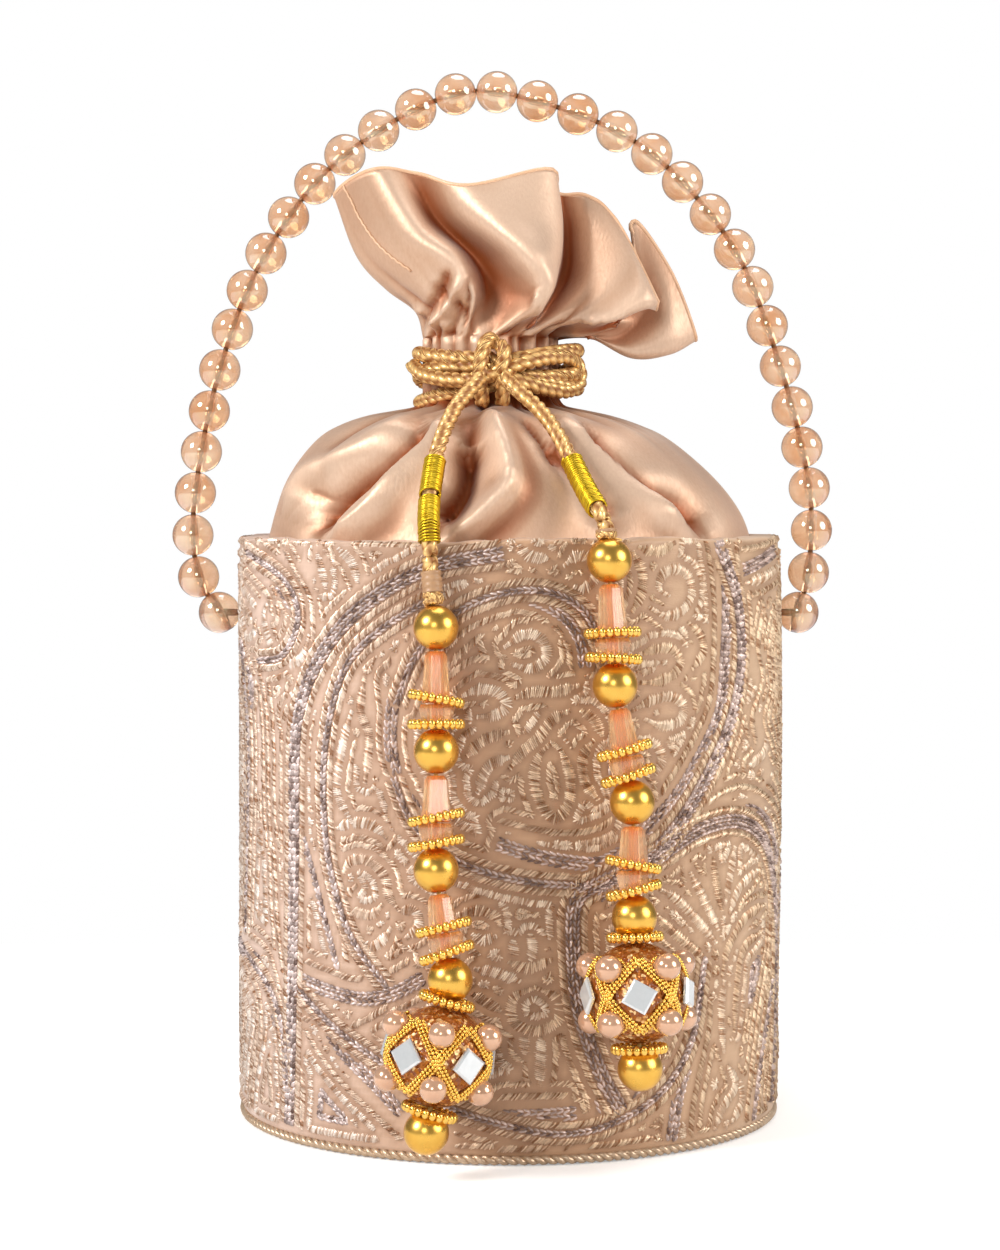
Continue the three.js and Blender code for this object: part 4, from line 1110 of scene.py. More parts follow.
# Broad bands: rows of links, and a line of (degrees round from the front, height).
bands = [
    (2, [(-1.8, 137), (-13.9, 134.9), (-25.6, 128.4), (-35.2, 120.6), (-42.5, 111.2), (-47.4, 100.6),
        (-49, 89),
         (-49.3, 68.2), (-50, 45.1), (-50.7, 22), (-51.4, 5)]),
    (1, [(-15.5, 126.8), (-25.6, 120.3), (-33.9, 112.3), (-38.3, 101.2), (-40.5, 87.4), (-39.9, 71.4),
        (-37.5, 60.3),
         (-33.4, 49.8), (-25.6, 39.8)]),
    (1, [(-22.7, 103.7), (-19.1, 113.3), (-12.8, 121.9), (-3.8, 127.4), (6.2, 128.7), (14.3, 124.6),
        (18.9, 115.5)]),
    (1, [(-23.4, 86.1), (-20.1, 77.7), (-13.9, 70.8), (-5.8, 66.5), (4.2, 63.9), (15.3, 62.7)]),
    (2, [(48.7, 136.5), (53.6, 125.5), (54.8, 111.6), (51.4, 99.1), (44.3, 87.1), (35.7, 75.2),
        (27.2, 67.4), (18.4, 63.4),
         (13.2, 59.2), (12.6, 48.4), (13.9, 34.9), (18, 21.3), (22.7, 11.9)]),
    (1, [(-48, 36.2), (-37.8, 28.9), (-26.8, 22.4), (-13.9, 14), (-1.8, 9.6), (10.2, 7.2), (20.6, 8.8),
        (31.9, 14.8),
         (39.7, 25.9), (43.1, 43.7)]),
    (2, [(18.4, 60.7), (30.7, 68.1), (42.5, 74), (56, 74), (68.9, 65.9), (76.3, 48.3), (76.3, 24.5),
        (73, 6)]),
    (1, [(-71.2, 136.6), (-56, 132.3), (-49.3, 126.9), (-48, 120.1), (-53.2, 112.9), (-63.4, 111)]),
    (1, [(-75.1, 41.3), (-60.3, 35.5), (-54, 26.1), (-52.5, 12.5)]),
    (1, [(-74, 110.2), (-69.6, 91.7), (-71.2, 70.3), (-74, 46.2)]),
]
# Single lines: a kind of stitch, and the line. A mauve kind ends in its rows.
strokes = [
    ("comb", [(-59.5, 124.4), (-61, 120.9), (-57.2, 114.3), (-51.5, 111.2), (-46.6, 112.9), (-44.6, 117.9)]),
    ("gold", [(-73.4, 132.6), (-66.9, 130.4), (-59.1, 126.4), (-57.2, 122.1)]),
    ("comb", [(-42.1, 137.2), (-40.9, 132.9), (-39.8, 128.7)]),
    ("comb", [(-36.4, 138.3), (-33.2, 135.1), (-31.7, 130.4)]),
    ("gold", [(-52.3, 137.4), (-48.6, 132.2), (-44.6, 127), (-43.4, 121.3), (-44, 115), (-48.6, 106.1),
        (-53, 98)]),
    ("mauve2", [(-68.2, 135.8), (-61, 134.6), (-55.5, 130.5), (-50.8, 125.3), (-48.6, 123)]),
    ("comb", [(-33.2, 101.2), (-34.8, 96.4), (-36.4, 89.6), (-37, 82.3), (-33.2, 75.9)]),
    ("comb", [(-30.1, 109), (-31.1, 101.3), (-29.1, 95.7), (-30.1, 85.2)]),
    ("gold", [(-24.3, 113), (-27.2, 109.1), (-26.7, 101.5), (-26.7, 92), (-23.4, 83.2), (-21.6, 78.1)]),
    ("mauve2", [(-18.4, 115.5), (-21.6, 109.8), (-23.9, 101.6), (-24.1, 92.6), (-22, 84.7), (-18.4, 79.1)]),
    ("comb", [(-9.3, 105.3), (-6.3, 106.8), (-2.6, 106.3), (-0.5, 103.5), (-2.6, 101.2), (-6.3, 100.7)]),
    ("comb", [(-8.5, 91.7), (-5.1, 95.5), (-0.1, 97.4)]),
    ("comb", [(-6.3, 83.7), (-4.2, 89.4), (-0.1, 91.8)]),
    ("comb", [(-37.5, 74.2), (-33.2, 75.9), (-28.7, 75.8), (-25.3, 73.1)]),
    ("mauve2", [(-78.6, 113.8), (-73.4, 109.2), (-68.2, 104.6), (-69.8, 96.5), (-71.4, 83.9), (-73.4, 71.3)]),
    ("gold", [(-89.2, 108.9), (-89.2, 99.8), (-89.2, 89.6), (-89.2, 74.3)]),
    ("gold", [(-66.9, 111.6), (-61, 104.2), (-59.1, 92.6), (-59.1, 80.3), (-58.1, 68.2)]),
    ("comb", [(-36, 63.5), (-33.8, 67.1), (-29.7, 67.7), (-25.7, 64.3), (-24.8, 60), (-22.4, 56.8)]),
    ("comb", [(-32.2, 61.9), (-34.4, 59.3), (-32.8, 56.1), (-28.7, 55.4), (-26.2, 58)]),
    ("comb", [(-34.4, 54.5), (-32.2, 50.8), (-29.2, 48.1), (-26.2, 49.8), (-24.3, 52.8)]),
    ("comb", [(-22.9, 56.8), (-19.2, 57), (-18.3, 53.7), (-21, 50.7)]),
    ("gold", [(-49, 44), (-40.6, 42.1), (-32.8, 40.6), (-25.7, 42.6), (-20.6, 45.6)]),
    ("mauve2", [(-47.6, 38.8), (-38.8, 37), (-30.7, 36.2), (-23.8, 38), (-17.8, 41.7)]),
    ("gold", [(-49, 30.3), (-40, 29.1), (-32.2, 30.5), (-25.3, 34.7)]),
    ("gold", [(-85, 46.1), (-63, 44.5), (-57, 39), (-53.6, 30.6)]),
    ("mauve2", [(-89.2, 40.7), (-66.7, 40.4), (-59.8, 34.5), (-56.5, 27.6), (-53.6, 20.2), (-52, 11.1),
        (-52.4, 4)]),
    ("gold", [(-73.2, 37.3), (-65.3, 32.6), (-64.1, 23.8), (-68.1, 13.1), (-69.6, 5.2)]),
    ("gold", [(-57, 69.7), (-56.1, 54.9), (-54.8, 45.2), (-52.8, 35.6), (-49, 26.3), (-46.9, 14.4),
        (-47.6, 4)]),
    ("mauve1", [(-46.2, 70.8), (-43.6, 63.8), (-40.6, 54.3), (-37.1, 43)]),
    ("gold", [(-41.8, 71.3), (-39.4, 61.8), (-36, 51.4), (-34.9, 44.7)]),
    ("gold", [(-46.2, 27.2), (-41.8, 22), (-36.5, 16.9), (-29.2, 11), (-22.4, 5.4)]),
    ("mauve2", [(-39.4, 28.2), (-34.9, 22.9), (-28.7, 17.8), (-22.4, 11.6)]),
    ("gold", [(-32.8, 28.5), (-28.7, 26), (-25.3, 22.9)]),
    ("comb", [(-10.3, 56.4), (-6.5, 57.5), (-3.1, 56.5), (-1.8, 54.2)]),
    ("comb", [(-7.3, 52.2), (-5.2, 50.8), (-2.6, 51.8)]),
    ("comb", [(-6.9, 44.5), (-2.6, 43.6), (2, 41.7)]),
    ("comb", [(-7.3, 38.8), (-4.3, 36.9), (-1.8, 35.1)]),
    ("gold", [(-13.8, 9.8), (-8.6, 10.5), (-3.5, 10.2), (2, 9.7)]),
    ("mauve2", [(-1.8, 127.5), (3.2, 127.3), (8.3, 125.1), (12.1, 121.8), (14.5, 117), (15.1, 112.3)]),
    ("comb", [(10.8, 134.1), (13.4, 136.4), (16.4, 135.4), (17.3, 132.1), (15.1, 129.3), (12.1, 129.8)]),
    ("comb", [(1.6, 139), (3.6, 136.5), (7.8, 135.5)]),
    ("comb", [(25.1, 137.2), (27.2, 132.9), (27.2, 128.1), (25.1, 123.9)]),
    ("comb", [(28.9, 124.7), (33, 122.7), (37.2, 124), (39.5, 127.7), (38.4, 131.6), (35.1, 133.1),
        (31.9, 131.8), (31.2, 128.9), (33.5, 127.2)]),
    ("comb", [(26, 113.9), (29.9, 115.2), (34, 115.3), (36.4, 112.5), (34.5, 109.3), (30.4, 108),
        (27, 107.9)]),
    ("comb", [(38.4, 121.1), (41.9, 118), (42.5, 114.1), (39.5, 110.5)]),
    ("comb", [(25.1, 101.6), (28.9, 103.6), (34, 104.5), (37.2, 102.4), (36.4, 99.1), (32.4, 97.9),
        (27.9, 99.6)]),
    ("comb", [(26.5, 95.6), (30.2, 94), (31.9, 90.8), (30.4, 87.1)]),
    ("gold", [(43.7, 139), (45.6, 127.5), (45.6, 115.4), (44.3, 103.5), (39.5, 94.2), (31.9, 83.2)]),
    ("mauve2", [(47.6, 139), (49.7, 127.3), (49, 112.8), (47.3, 100.8), (41.9, 91.1), (35.1, 81.5),
        (28.4, 74.9)]),
    ("gold", [(53.5, 138.8), (54.7, 122.2), (53.9, 107.7), (49.7, 95.8), (43.1, 86.7), (37.2, 79)]),
    ("gold", [(65, 122.1), (62.6, 114.4), (65, 106.8), (59.6, 98.4), (61.6, 91.9)]),
    ("gold", [(74.5, 121.1), (69, 113.5), (70.6, 104.4), (66.2, 96.9), (74.5, 88.1)]),
    ("comb", [(66.2, 98.9), (67.6, 93.8), (66.2, 89.5), (57.7, 86.9)]),
    ("mauve2", [(40.7, 73.4), (48.3, 75.9), (59.6, 76.2), (69, 71.4), (77, 62.8)]),
    ("gold", [(38.4, 75.1), (45.6, 80.7), (55.9, 82.4), (70.6, 77.6), (89.2, 68.2)]),
    ("gold", [(43.1, 69.9), (51.9, 72.8), (60.5, 69.9)]),
    ("comb", [(8.3, 95), (5.7, 91.7), (4.9, 86.1), (6.6, 80.4), (9.1, 78), (11.7, 81.3), (12.1, 86.9),
        (10.4, 92.6), (8.3, 95)]),
    ("comb", [(16.9, 95.3), (14.7, 91.6), (15.1, 85.9), (17.8, 82)]),
    ("comb", [(0.7, 104.9), (4.5, 106.3), (9.1, 106.3), (13.8, 107.6)]),
    ("comb", [(-1, 116.2), (2.8, 119.1), (6.2, 118.1), (7.4, 114.3), (4.5, 111.5), (0.3, 112.5)]),
    ("comb", [(-0.1, 89), (2.4, 92.7), (5.7, 96), (8.7, 100.2), (12.1, 102)]),
    ("comb", [(14.3, 102), (16.9, 100), (18.7, 96.2)]),
    ("comb", [(26.5, 138.1), (30.9, 137), (35.1, 139)]),
    ("mauve2", [(56.8, 132.8), (65, 134.5), (74.5, 136.5)]),
    ("gold", [(53.5, 137.8), (61.6, 137.8), (74.5, 139)]),
    ("comb", [(56.8, 129.4), (66.2, 130.5), (80.9, 132.7)]),
    ("gold", [(-1.8, 77.7), (4.5, 75.8), (10.8, 74.7), (17.3, 75.4), (20.5, 77.2)]),
    ("mauve2", [(-1.8, 72.3), (4.6, 69.9), (11, 68.4), (17.6, 67.6), (22.7, 69.8)]),
    ("gold", [(-1.8, 68), (4.6, 65.6), (11, 64), (17.2, 64.3)]),
    ("mauve2", [(14.9, 63), (13, 57.3), (12.7, 51.6), (12.5, 45.8)]),
    ("gold", [(9.7, 57.4), (9.1, 51.7), (9.5, 45.9), (11, 40.1), (12.3, 30)]),
    ("comb", [(0.8, 50.8), (0.8, 47.5)]),
    ("comb", [(4.1, 52.2), (4.6, 49.4), (4.1, 46.5)]),
    ("comb", [(5, 40.3), (9.3, 37.8), (9.7, 33), (5.4, 30.5), (0.8, 32.7), (0.8, 37.9), (5, 40.3)]),
    ("comb", [(6.3, 29.8), (6.1, 24), (5.9, 18.3)]),
    ("comb", [(2.9, 29.8), (2.9, 25.5)]),
    ("comb", [(-0.1, 46.1), (3.7, 44.6), (8.4, 46.4)]),
    ("gold", [(-1.8, 15.7), (4.6, 15.9), (11, 15.8)]),
    ("mauve2", [(-1.8, 11.2), (5.9, 11.4), (12.7, 11.8)]),
    ("gold", [(-1.8, 6.9), (6.7, 6.8), (14.5, 9.4)]),
    ("gold", [(-1.8, 4), (8.8, 4), (19.9, 4.2), (29.4, 4.7)]),
    ("mauve2", [(14.1, 27.1), (16.3, 22.2), (18.3, 15.3), (19.4, 11)]),
    ("mauve2", [(39.7, 27.7), (38.5, 20.5), (36.3, 13.5), (34.6, 4)]),
    ("gold", [(44.6, 36.8), (44.9, 28.9), (42.7, 20), (40.3, 10.6), (39.7, 4)]),
    ("mauve1", [(32.5, 19.8), (27.4, 15.5), (22.7, 12.1), (16.7, 8.3)]),
    ("comb", [(44, 43.7), (38, 48.3), (33, 52.7), (30.4, 55.8)]),
    ("comb", [(46.6, 47.3), (40.3, 53.9), (35.2, 58.8), (31.5, 61)]),
    ("comb", [(47.3, 50.2), (42.7, 58), (39.1, 64.2)]),
    ("comb", [(48.3, 54.5), (46.6, 61), (45.6, 67)]),
    ("comb", [(49.4, 55.8), (51.2, 62.5), (52.7, 68.7)]),
    ("comb", [(50.8, 53.6), (54.8, 59.1), (62.4, 62.1)]),
    ("comb", [(48.6, 39.2), (50.8, 45.8), (57.4, 51.8), (67.3, 53.4)]),
    ("comb", [(53.1, 25.7), (53.9, 35.5), (56.5, 44.5), (64.7, 47.3)]),
    ("comb", [(49.4, 21.4), (48.6, 31.3), (49.4, 38.6)]),
    ("comb", [(50.8, 18.2), (53.9, 13.3), (49.4, 8.6), (46.6, 4)]),
    ("comb", [(55.6, 14.4), (56.5, 8.8), (52.4, 4.7)]),
    ("mauve1", [(84.3, 61.1), (80.4, 46.3), (70.4, 27.8), (65.3, 16.1), (61.8, 4)]),
    ("gold", [(69.5, 60.6), (71.2, 45.2), (65.3, 31.2), (60.8, 17), (58.3, 4)]),
    ("gold", [(89.2, 55.2), (89.2, 34.5), (89.2, 19), (72.1, 9.8)]),
]
# Ground left plain: degrees round, height and radius.
bareSpots = [
    (-22, 9, 7), (-15, 6, 5), (-30, 16, 5), (63, 110, 5), (62, 95, 4.5), (-46, 132, 3.5), (36, 128, 3.5),
    (40, 112, 4), (34, 100, 3.5), (-43, 60, 2.5), (12, 46, 4), (52, 20, 4), (-30, 90, 2.5), (68, 85, 3.5),
    (-62, 122, 3.5), (2, 40, 3),
]


def overRim(along, height, out):
    # A place on the drum's wall, or past its top edge on the fold of the rim.
    bend = coverSizes["rimBend"]
    top = drum["height"] - bend
    turn = np.asarray(along) / wallR
    over = np.clip((height - top) / bend, 0, math.pi / 2)
    past = np.maximum(height - top - bend * math.pi / 2, 0)
    reach = wallR - bend + (bend + out) * np.cos(over) - past
    lift = np.where(height > top, top + (bend + out) * np.sin(over), height)
    share = np.clip((height - drum["height"] + 12) / 10, 0, 1)
    return np.stack([reach * np.sin(turn), -reach * np.cos(turn), lift + rimLift(along) * share], -1)


class Stitches:
    # Collects stitches by thread, and keeps new lines off the places that are taken.
    def __init__(self):
        self.around = 2 * math.pi * wallR
        self.cell = stitching["cell"]
        columns, rows = int(self.around / self.cell) + 1, int((drum["height"] + 3) / self.cell) + 2
        self.taken = np.zeros((columns, rows), int)
        self.plain = np.zeros(self.taken.shape, bool)
        self.rows = {thread: [] for thread in threads}
        self.stroke = 0
        steps = np.arange(-0.75, 0.76, 0.25)
        self.window = np.stack(np.meshgrid(steps, steps), -1).reshape(-1, 2)

    def cells(self, points):
        across = np.mod(points[:, 0], self.around) / self.cell
        up = np.clip(points[:, 1], 0.5, drum["height"] + 2.5) / self.cell
        return across.astype(int), up.astype(int)

    def add(self, thread, middles, angles, lengths, width, rise, force=False, seat=0.0):
        # Stitches of one stroke by their middles, directions and lengths. Forced ones may lie on others.
        middles, angles = np.asarray(middles, float), np.asarray(angles, float)
        lengths = np.broadcast_to(lengths, angles.shape).astype(float)
        way = np.stack([np.cos(angles), np.sin(angles)], -1)
        good = (middles[:, 1] > 3.6) & (middles[:, 1] < drum["height"] + 1.4)
        if not force:
            for share in (-0.3, 0, 0.3):
                found = self.taken[self.cells(middles + way * lengths[:, None] * share)]
                good &= (found == 0) | (found == self.stroke)
        aside = np.stack([-way[:, 1], way[:, 0]], -1) * width * 0.4
        for share in np.linspace(-0.5, 0.5, 7):
            for side in (-aside, aside):
                spot = middles + way * lengths[:, None] * share + side
                self.taken[self.cells(spot[good])] = self.stroke
        if good.any():
            rest = [np.full(good.sum(), value) for value in (width, rise, seat)]
            self.rows[thread].append((middles[good], angles[good], lengths[good], *rest))

    def along(self, line, step):
        # Places along a drawn line, each with its heading and the direction to its left.
        points = smoothLine([(math.radians(a) * wallR, z) for a, z in line], step)
        tangent = np.gradient(points, axis=0)
        heading = np.arctan2(tangent[:, 1], tangent[:, 0])
        side = np.stack([-np.sin(heading), np.cos(heading)], -1)
        return points, heading, side

    def goldLine(self, line, offset=0.0, force=False, seat=0.0):
        # Slanted stitches close together, like a laid cord.
        sizes = stitching
        points, heading, side = self.along(line, sizes["pitch"])
        jitter = noise.normal(0, 0.07, len(points))
        middles = points + side * (offset + noise.normal(0, 0.06, len(points)))[:, None]
        angles = heading + math.radians(sizes["goldLean"]) + jitter
        lengths = sizes["goldLength"] + noise.normal(0, 0.12, len(points))
        self.add("gold", middles, angles, lengths, sizes["goldWidth"], sizes["rise"], force, seat)

    def chain(self, line, rows, force=False, seat=0.0):
        # Links of two stitches that lean together, in rows side by side.
        sizes = stitching
        points, heading, side = self.along(line, sizes["linkPitch"])
        for row in range(rows):
            offset = (row - (rows - 1) / 2) * sizes["rowGap"]
            for lean in (-1, 1):
                middles = points + side * (offset + lean * sizes["linkAside"])
                angles = heading - lean * sizes["linkLean"] + noise.normal(0, 0.05, len(points))
                lengths = sizes["linkLength"] + noise.normal(0, 0.1, len(points))
                self.add("mauve", middles, angles, lengths, sizes["linkWidth"], sizes["rise"], force, seat)

    def comb(self, line):
        # Satin stitches nearly straight across the line, tapering at its ends.
        sizes = stitching
        self.stroke += 1
        points, heading, _ = self.along(line, sizes["pitch"])
        share = np.linspace(0, 1, len(points))
        taper = np.clip(np.minimum(share, 1 - share) * 6, 0.45, 1)
        lengths = sizes["combLength"] * taper * (1 + noise.normal(0, 0.08, len(points)))
        lean = math.radians(sizes["combLean"]) + noise.normal(0, 0.06, len(points))
        thread = "cream" if noise.random() < 0.6 else "gold"
        self.add(thread, points, heading + lean, lengths, sizes["combWidth"], sizes["combRise"])

    def band(self, rows, line):
        # Rows of links between two gold lines.
        self.stroke += 1
        self.chain(line, rows, True, 0.22)
        half = rows * stitching["rowGap"] / 2 + 1.0
        self.goldLine(line, half, True, 0.1)
        self.goldLine(line, -half, True, 0.1)

    def coveredAt(self, points):
        # How much of the wall near each point is under stitches.
        taken = (self.taken > 0).astype(float)
        for axis in (0, 1):
            taken = (np.roll(taken, 1, axis) + taken + np.roll(taken, -1, axis)) / 3
            taken = (np.roll(taken, 2, axis) + taken + np.roll(taken, -2, axis)) / 3
        flat = np.stack([np.arctan2(points[:, 0], -points[:, 1]) * wallR, points[:, 2]], -1)
        outside = (np.hypot(points[:, 0], points[:, 1]) > wallR - 1.2) & (points[:, 2] < drum["height"] - 1)
        return np.where(outside, taken[self.cells(flat)], 0)

    def bare(self, turn, height, radius):
        # Ground that is left plain.
        place = np.array([math.radians(turn) * wallR, height])
        steps = np.arange(-radius, radius + 0.1, 0.3)
        window = np.stack(np.meshgrid(steps, steps), -1).reshape(-1, 2)
        self.plain[self.cells(place + window[np.hypot(*window.T) < radius])] = True

    def distances(self):
        # How far each cell lies from the nearest stitch or from the drum's edges, up to 3 mm.
        away = np.where(self.taken > 0, 0.0, 9.0)
        away[:, : int(3.2 / self.cell)] = 0
        away[:, int((drum["height"] + 1) / self.cell) :] = 0
        for _ in range(int(3 / self.cell)):
            straight = away
            for axis in (0, 1):
                for step in (-1, 1):
                    straight = np.minimum(straight, np.roll(away, step, axis) + self.cell)
            for across in (-1, 1):
                for up in (-1, 1):
                    straight = np.minimum(straight, np.roll(away, (across, up), (0, 1)) + 1.414 * self.cell)
            away = straight
        for axis in (0, 1):
            away = (np.roll(away, 1, axis) + away * 2 + np.roll(away, -1, axis)) / 4
        return away

    def follow(self, field, slopes, used, start, sign, level):
        # Places one stitch apart along the line where the field has the given level.
        places, headings = [], []
        place = start
        limit = field.shape[1] - 2
        while len(places) < 300:
            i, j = int(place[0] / self.cell) % field.shape[0], int(place[1] / self.cell)
            if j < 1 or j > limit or used[i, j] or self.plain[i, j] or abs(field[i, j] - level) > 0.42:
                break
            gx, gy = slopes[0][i, j], slopes[1][i, j]
            size = math.hypot(gx, gy)
            if size < 0.35:
                break
            gx, gy = gx / size, gy / size
            fix = (level - field[i, j]) * 0.5
            place = place + np.array([gx, gy]) * fix
            places.append(place)
            headings.append(math.atan2(sign * gx, -sign * gy))
            place = place + np.array([-gy, gx]) * sign * stitching["pitch"]
            if len(places) > 6 and np.hypot(*(place - places[0])) < 0.4:
                break
        return places, headings

    def echo(self, level, reach, kinds):
        # Rows of stitches that follow the shapes already there, at one distance from them.
        field = self.distances()
        slopes = np.gradient(field, self.cell)
        used = np.zeros(field.shape, bool)
        starts = np.argwhere((np.abs(field - level) < 0.14) & ~self.plain)
        noise.shuffle(starts)
        for cell in starts:
            if used[tuple(cell)]:
                continue
            start = cell * self.cell + self.cell / 2
            ahead = self.follow(field, slopes, used, start, 1, level)
            back = self.follow(field, slopes, used, start, -1, level)
            places = np.array(back[0][:0:-1] + ahead[0])
            headings = np.array([h + math.pi for h in back[1][:0:-1]] + ahead[1])
            if len(places) < 3:
                used[tuple(cell)] = True
                continue
            marks = places[:, None] + self.window[None]
            used[self.cells(marks.reshape(-1, 2))] = True
            self.stroke += 1
            kind = kinds[int(noise.integers(len(kinds)))]
            share = np.minimum(np.arange(len(places)), np.arange(len(places))[::-1]) / 4
            lengths = reach * np.clip(share + 0.5, 0, 1) * (1 + noise.normal(0, 0.08, len(places)))
            if kind == "mauve":
                for lean in (-1, 1):
                    side = np.stack([-np.sin(headings), np.cos(headings)], -1)
                    middles = (places + side * lean * stitching["linkAside"])[::3]
                    angles = headings[::3] - lean * stitching["linkLean"]
                    self.add("mauve", middles, angles, 1.9, 0.62, 0.6, True)
                continue
            lean = {"gold": 0.85, "cream": 1.32}[kind] + noise.normal(0, 0.06, len(places))
            self.add(kind, places, headings + lean, lengths, 0.45, 0.54, True)

    def fillGround(self):
        # Each row follows the rows before it, so their order counts.
        for row in echoRows:
            self.echo(*row)

    def mesh(self, thread, facing):
        # All stitches of one thread on the front or on the back half, each a low ridge of eight points.
        columns = [np.concatenate(each) for each in zip(*self.rows[thread])]
        keep = np.cos(columns[0][:, 0] / wallR) * facing >= 0
        middles, angles, lengths, widths, rises, seats = (column[keep] for column in columns)
        lifts = rises * (1 + noise.normal(0, 0.12, len(rises)))
        tips = noise.uniform(-0.18, 0.18, len(rises))
        ridge = [
            (-0.5, 0, 0), (-0.28, -0.5, 0), (0.28, -0.5, 0), (0.5, 0, 0), (0.28, 0.5, 0), (-0.28, 0.5, 0),
            (-0.2, 0, 1), (0.2, 0, 1),
        ]
        points = []
        for u, v, w in ridge:
            s = middles[:, 0] + lengths * u * np.cos(angles) - widths * v * np.sin(angles)
            z = middles[:, 1] + lengths * u * np.sin(angles) + widths * v * np.cos(angles)
            out = lifts * (1 + tips * np.sign(u)) + seats if w else seats * 0.6 - 0.05
            points.append(overRim(s, z, out + wallBulge(s, np.minimum(z, drum["height"] - 0.5))))
        points = np.stack(points, 1).reshape(-1, 3)
        base = np.arange(len(middles))[:, None] * 8
        threes = np.concatenate([base + np.array(f) for f in ((0, 1, 6), (0, 6, 5), (2, 3, 7), (3, 4, 7))])
        fours = np.concatenate([base + np.array(f) for f in ((1, 2, 7, 6), (5, 6, 7, 4))])
        return points, [threes, fours]


def embroideryPaint(name, left, right, deep, metallic, roughness):
    # The threads are painted lighter on the left of the drum and warmer on the right, painted light across X as
    # on its satin. Each stitch's random tone and a fine fibre noise pick between that lit colour and the painted
    # shade colour.
    paint = Paint(name, metallic=metallic, roughness=roughness)
    where = paint.place()
    bright = paint.mix(paint.part(where, 0).between(-0.045, 0.02), linear(left), linear(right))
    fibre = paint.noise(where, 2600, 2)
    shade = (paint.tone("tone") * 0.8 + fibre * 0.5).between(0.2, 1.05)
    paint.set("Base Color", paint.mix(shade, linear(deep), bright))
    paint.set("Roughness", fibre * 0.2 + roughness - 0.08)
    paint.set("Normal", paint.bump(fibre, 0.00009, 0.7))
    return paint


def drawStitches(work, around):
    # The drawn lines once, turned round the drum by some degrees.
    for rows, line in bands:
        work.band(rows, [(a + around, z) for a, z in line])
    for kind, line in strokes:
        line = [(a + around, z) for a, z in line]
        if kind == "comb":
            work.comb(line)
            continue
        work.stroke += 1
        if kind == "gold":
            work.goldLine(line, seat=0.05)
        else:
            work.chain(line, int(kind[-1]), seat=0.1)
    for turn, height, radius in bareSpots:
        work.bare(turn + around, height, radius)


def buildEmbroidery():
    # The back, which the photo doesn't show, has the same drawing as the front.
    work = Stitches()
    for around in (0, 180):
        drawStitches(work, around)
    work.fillGround()
    total = 0
    for thread, looks in threads.items():
        paint = embroideryPaint(f"{thread}_thread", *looks)
        for side, facing in (("front", 1), ("back", -1)):
            points, faces = work.mesh(thread, facing)
            count = len(points) // 8
            tones = np.repeat(noise.random(count), 8)
            makePiece(f"{thread}_stitches_{side}", (points, faces), paint, "drum", scalars={"tone": tones})
            total += count
    print("embroidery done", total, "stitches")
    return work


# Piping round the foot, the underside, and the paints of the parts inside
baseSizes = {
    "pipingIn": 0.7, "pipingHeight": 1.35, "piping": 1.25, "pipingLay": 4.4, "pipingColor": "A88868",
    "pipingShine": "E3CDB4", "under": 61.9, "underLow": 0.05, "underHigh": 1.2,
    "underLeft": "CDB08E", "underRight": "C4A583", "board": "8F8678", "boardLight": "B3AA9A",
    "liningLeft": "D9AE8C", "liningRight": "D3A684",
}


def pipingPaint():
    paint = Paint("piping_metal", metallic=0.6, roughness=0.36)
    patch = paint.noise(paint.place(), 700, 3)
    paint.blend(patch, baseSizes["pipingColor"], baseSizes["pipingShine"])
    paint.set("Normal", paint.bump(patch, 0.0001, 0.5))
    return paint


def boardPaint():
    paint = Paint("grey_board", roughness=0.85)
    fibre = paint.noise(paint.place(), 300, 5)
    paint.blend(fibre, baseSizes["board"], baseSizes["boardLight"])
    paint.set("Normal", paint.bump(fibre, 0.0002, 0.5))
    return paint


def buildBase():
    sizes = baseSizes
    turn = np.arange(600) * 2 * math.pi / 600
    ringR = wallR - sizes["pipingIn"]
    line = np.stack([ringR * np.sin(turn), -ringR * np.cos(turn), np.full(600, sizes["pipingHeight"])], -1)
    piping = twistedRing(line, sizes["piping"], 2, sizes["pipingLay"], packing=0.58)
    makePiece("twisted_piping", piping, pipingPaint(), "drum", stands=["bottom_piping"])
    axis, radius, low, high = 0.02, sizes["under"], sizes["underLow"], sizes["underHigh"]
    profile = rounded([(axis, low), (radius, low), (radius, high), (axis, high)], 0.5)
    under = satinGround("underside_cloth", sizes["underLeft"], sizes["underRight"])
    makePiece("underside_cloth", turned(profile, 160), under, "drum", stands=["base_cover"])
    board = boardPaint()
    lining = satinGround("lining_satin", sizes["liningLeft"], sizes["liningRight"])
    for node, paint in (("board_wall", board), ("base_board", board), ("satin_lining", lining)):
        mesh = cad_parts[node].data
        mesh.materials.clear()
        mesh.materials.append(paint.material)
    print("base done")


# Satin pouch: gathered to the neck, open above it as a frill
pouch = {
    "columns": 300, "edgeRadius": 58.5, "neckRadius": 16.2, "neckX": -4.5, "neckY": -3.0,
    "neckStart": 33, "neckTop": 186.6, "neckRows": 9, "frillRows": 52, "cloth": 0.5,
    "flat": [0.365, 0.131], "cutArea": 0.036, "pleats": 24, "foldScale": 1.75, "seamTurn": 302,
    "light": "DDBEA5", "mid": "C39B7E", "deep": "8E420C", "hem": "CF9F78", "hemLight": "EBC4A2",
}
# The dome's outline: height above the rim, and share of the edge's radius.
domeRows = [
    (-13, 1), (-5, 0.995), (0.5, 0.975), (6, 0.94), (12, 0.88), (18, 0.795), (23, 0.7), (26, 0.6), (28, 0.5),
    (29.3, 0.4), (30.4, 0.315), (31.6, 0.29),
]
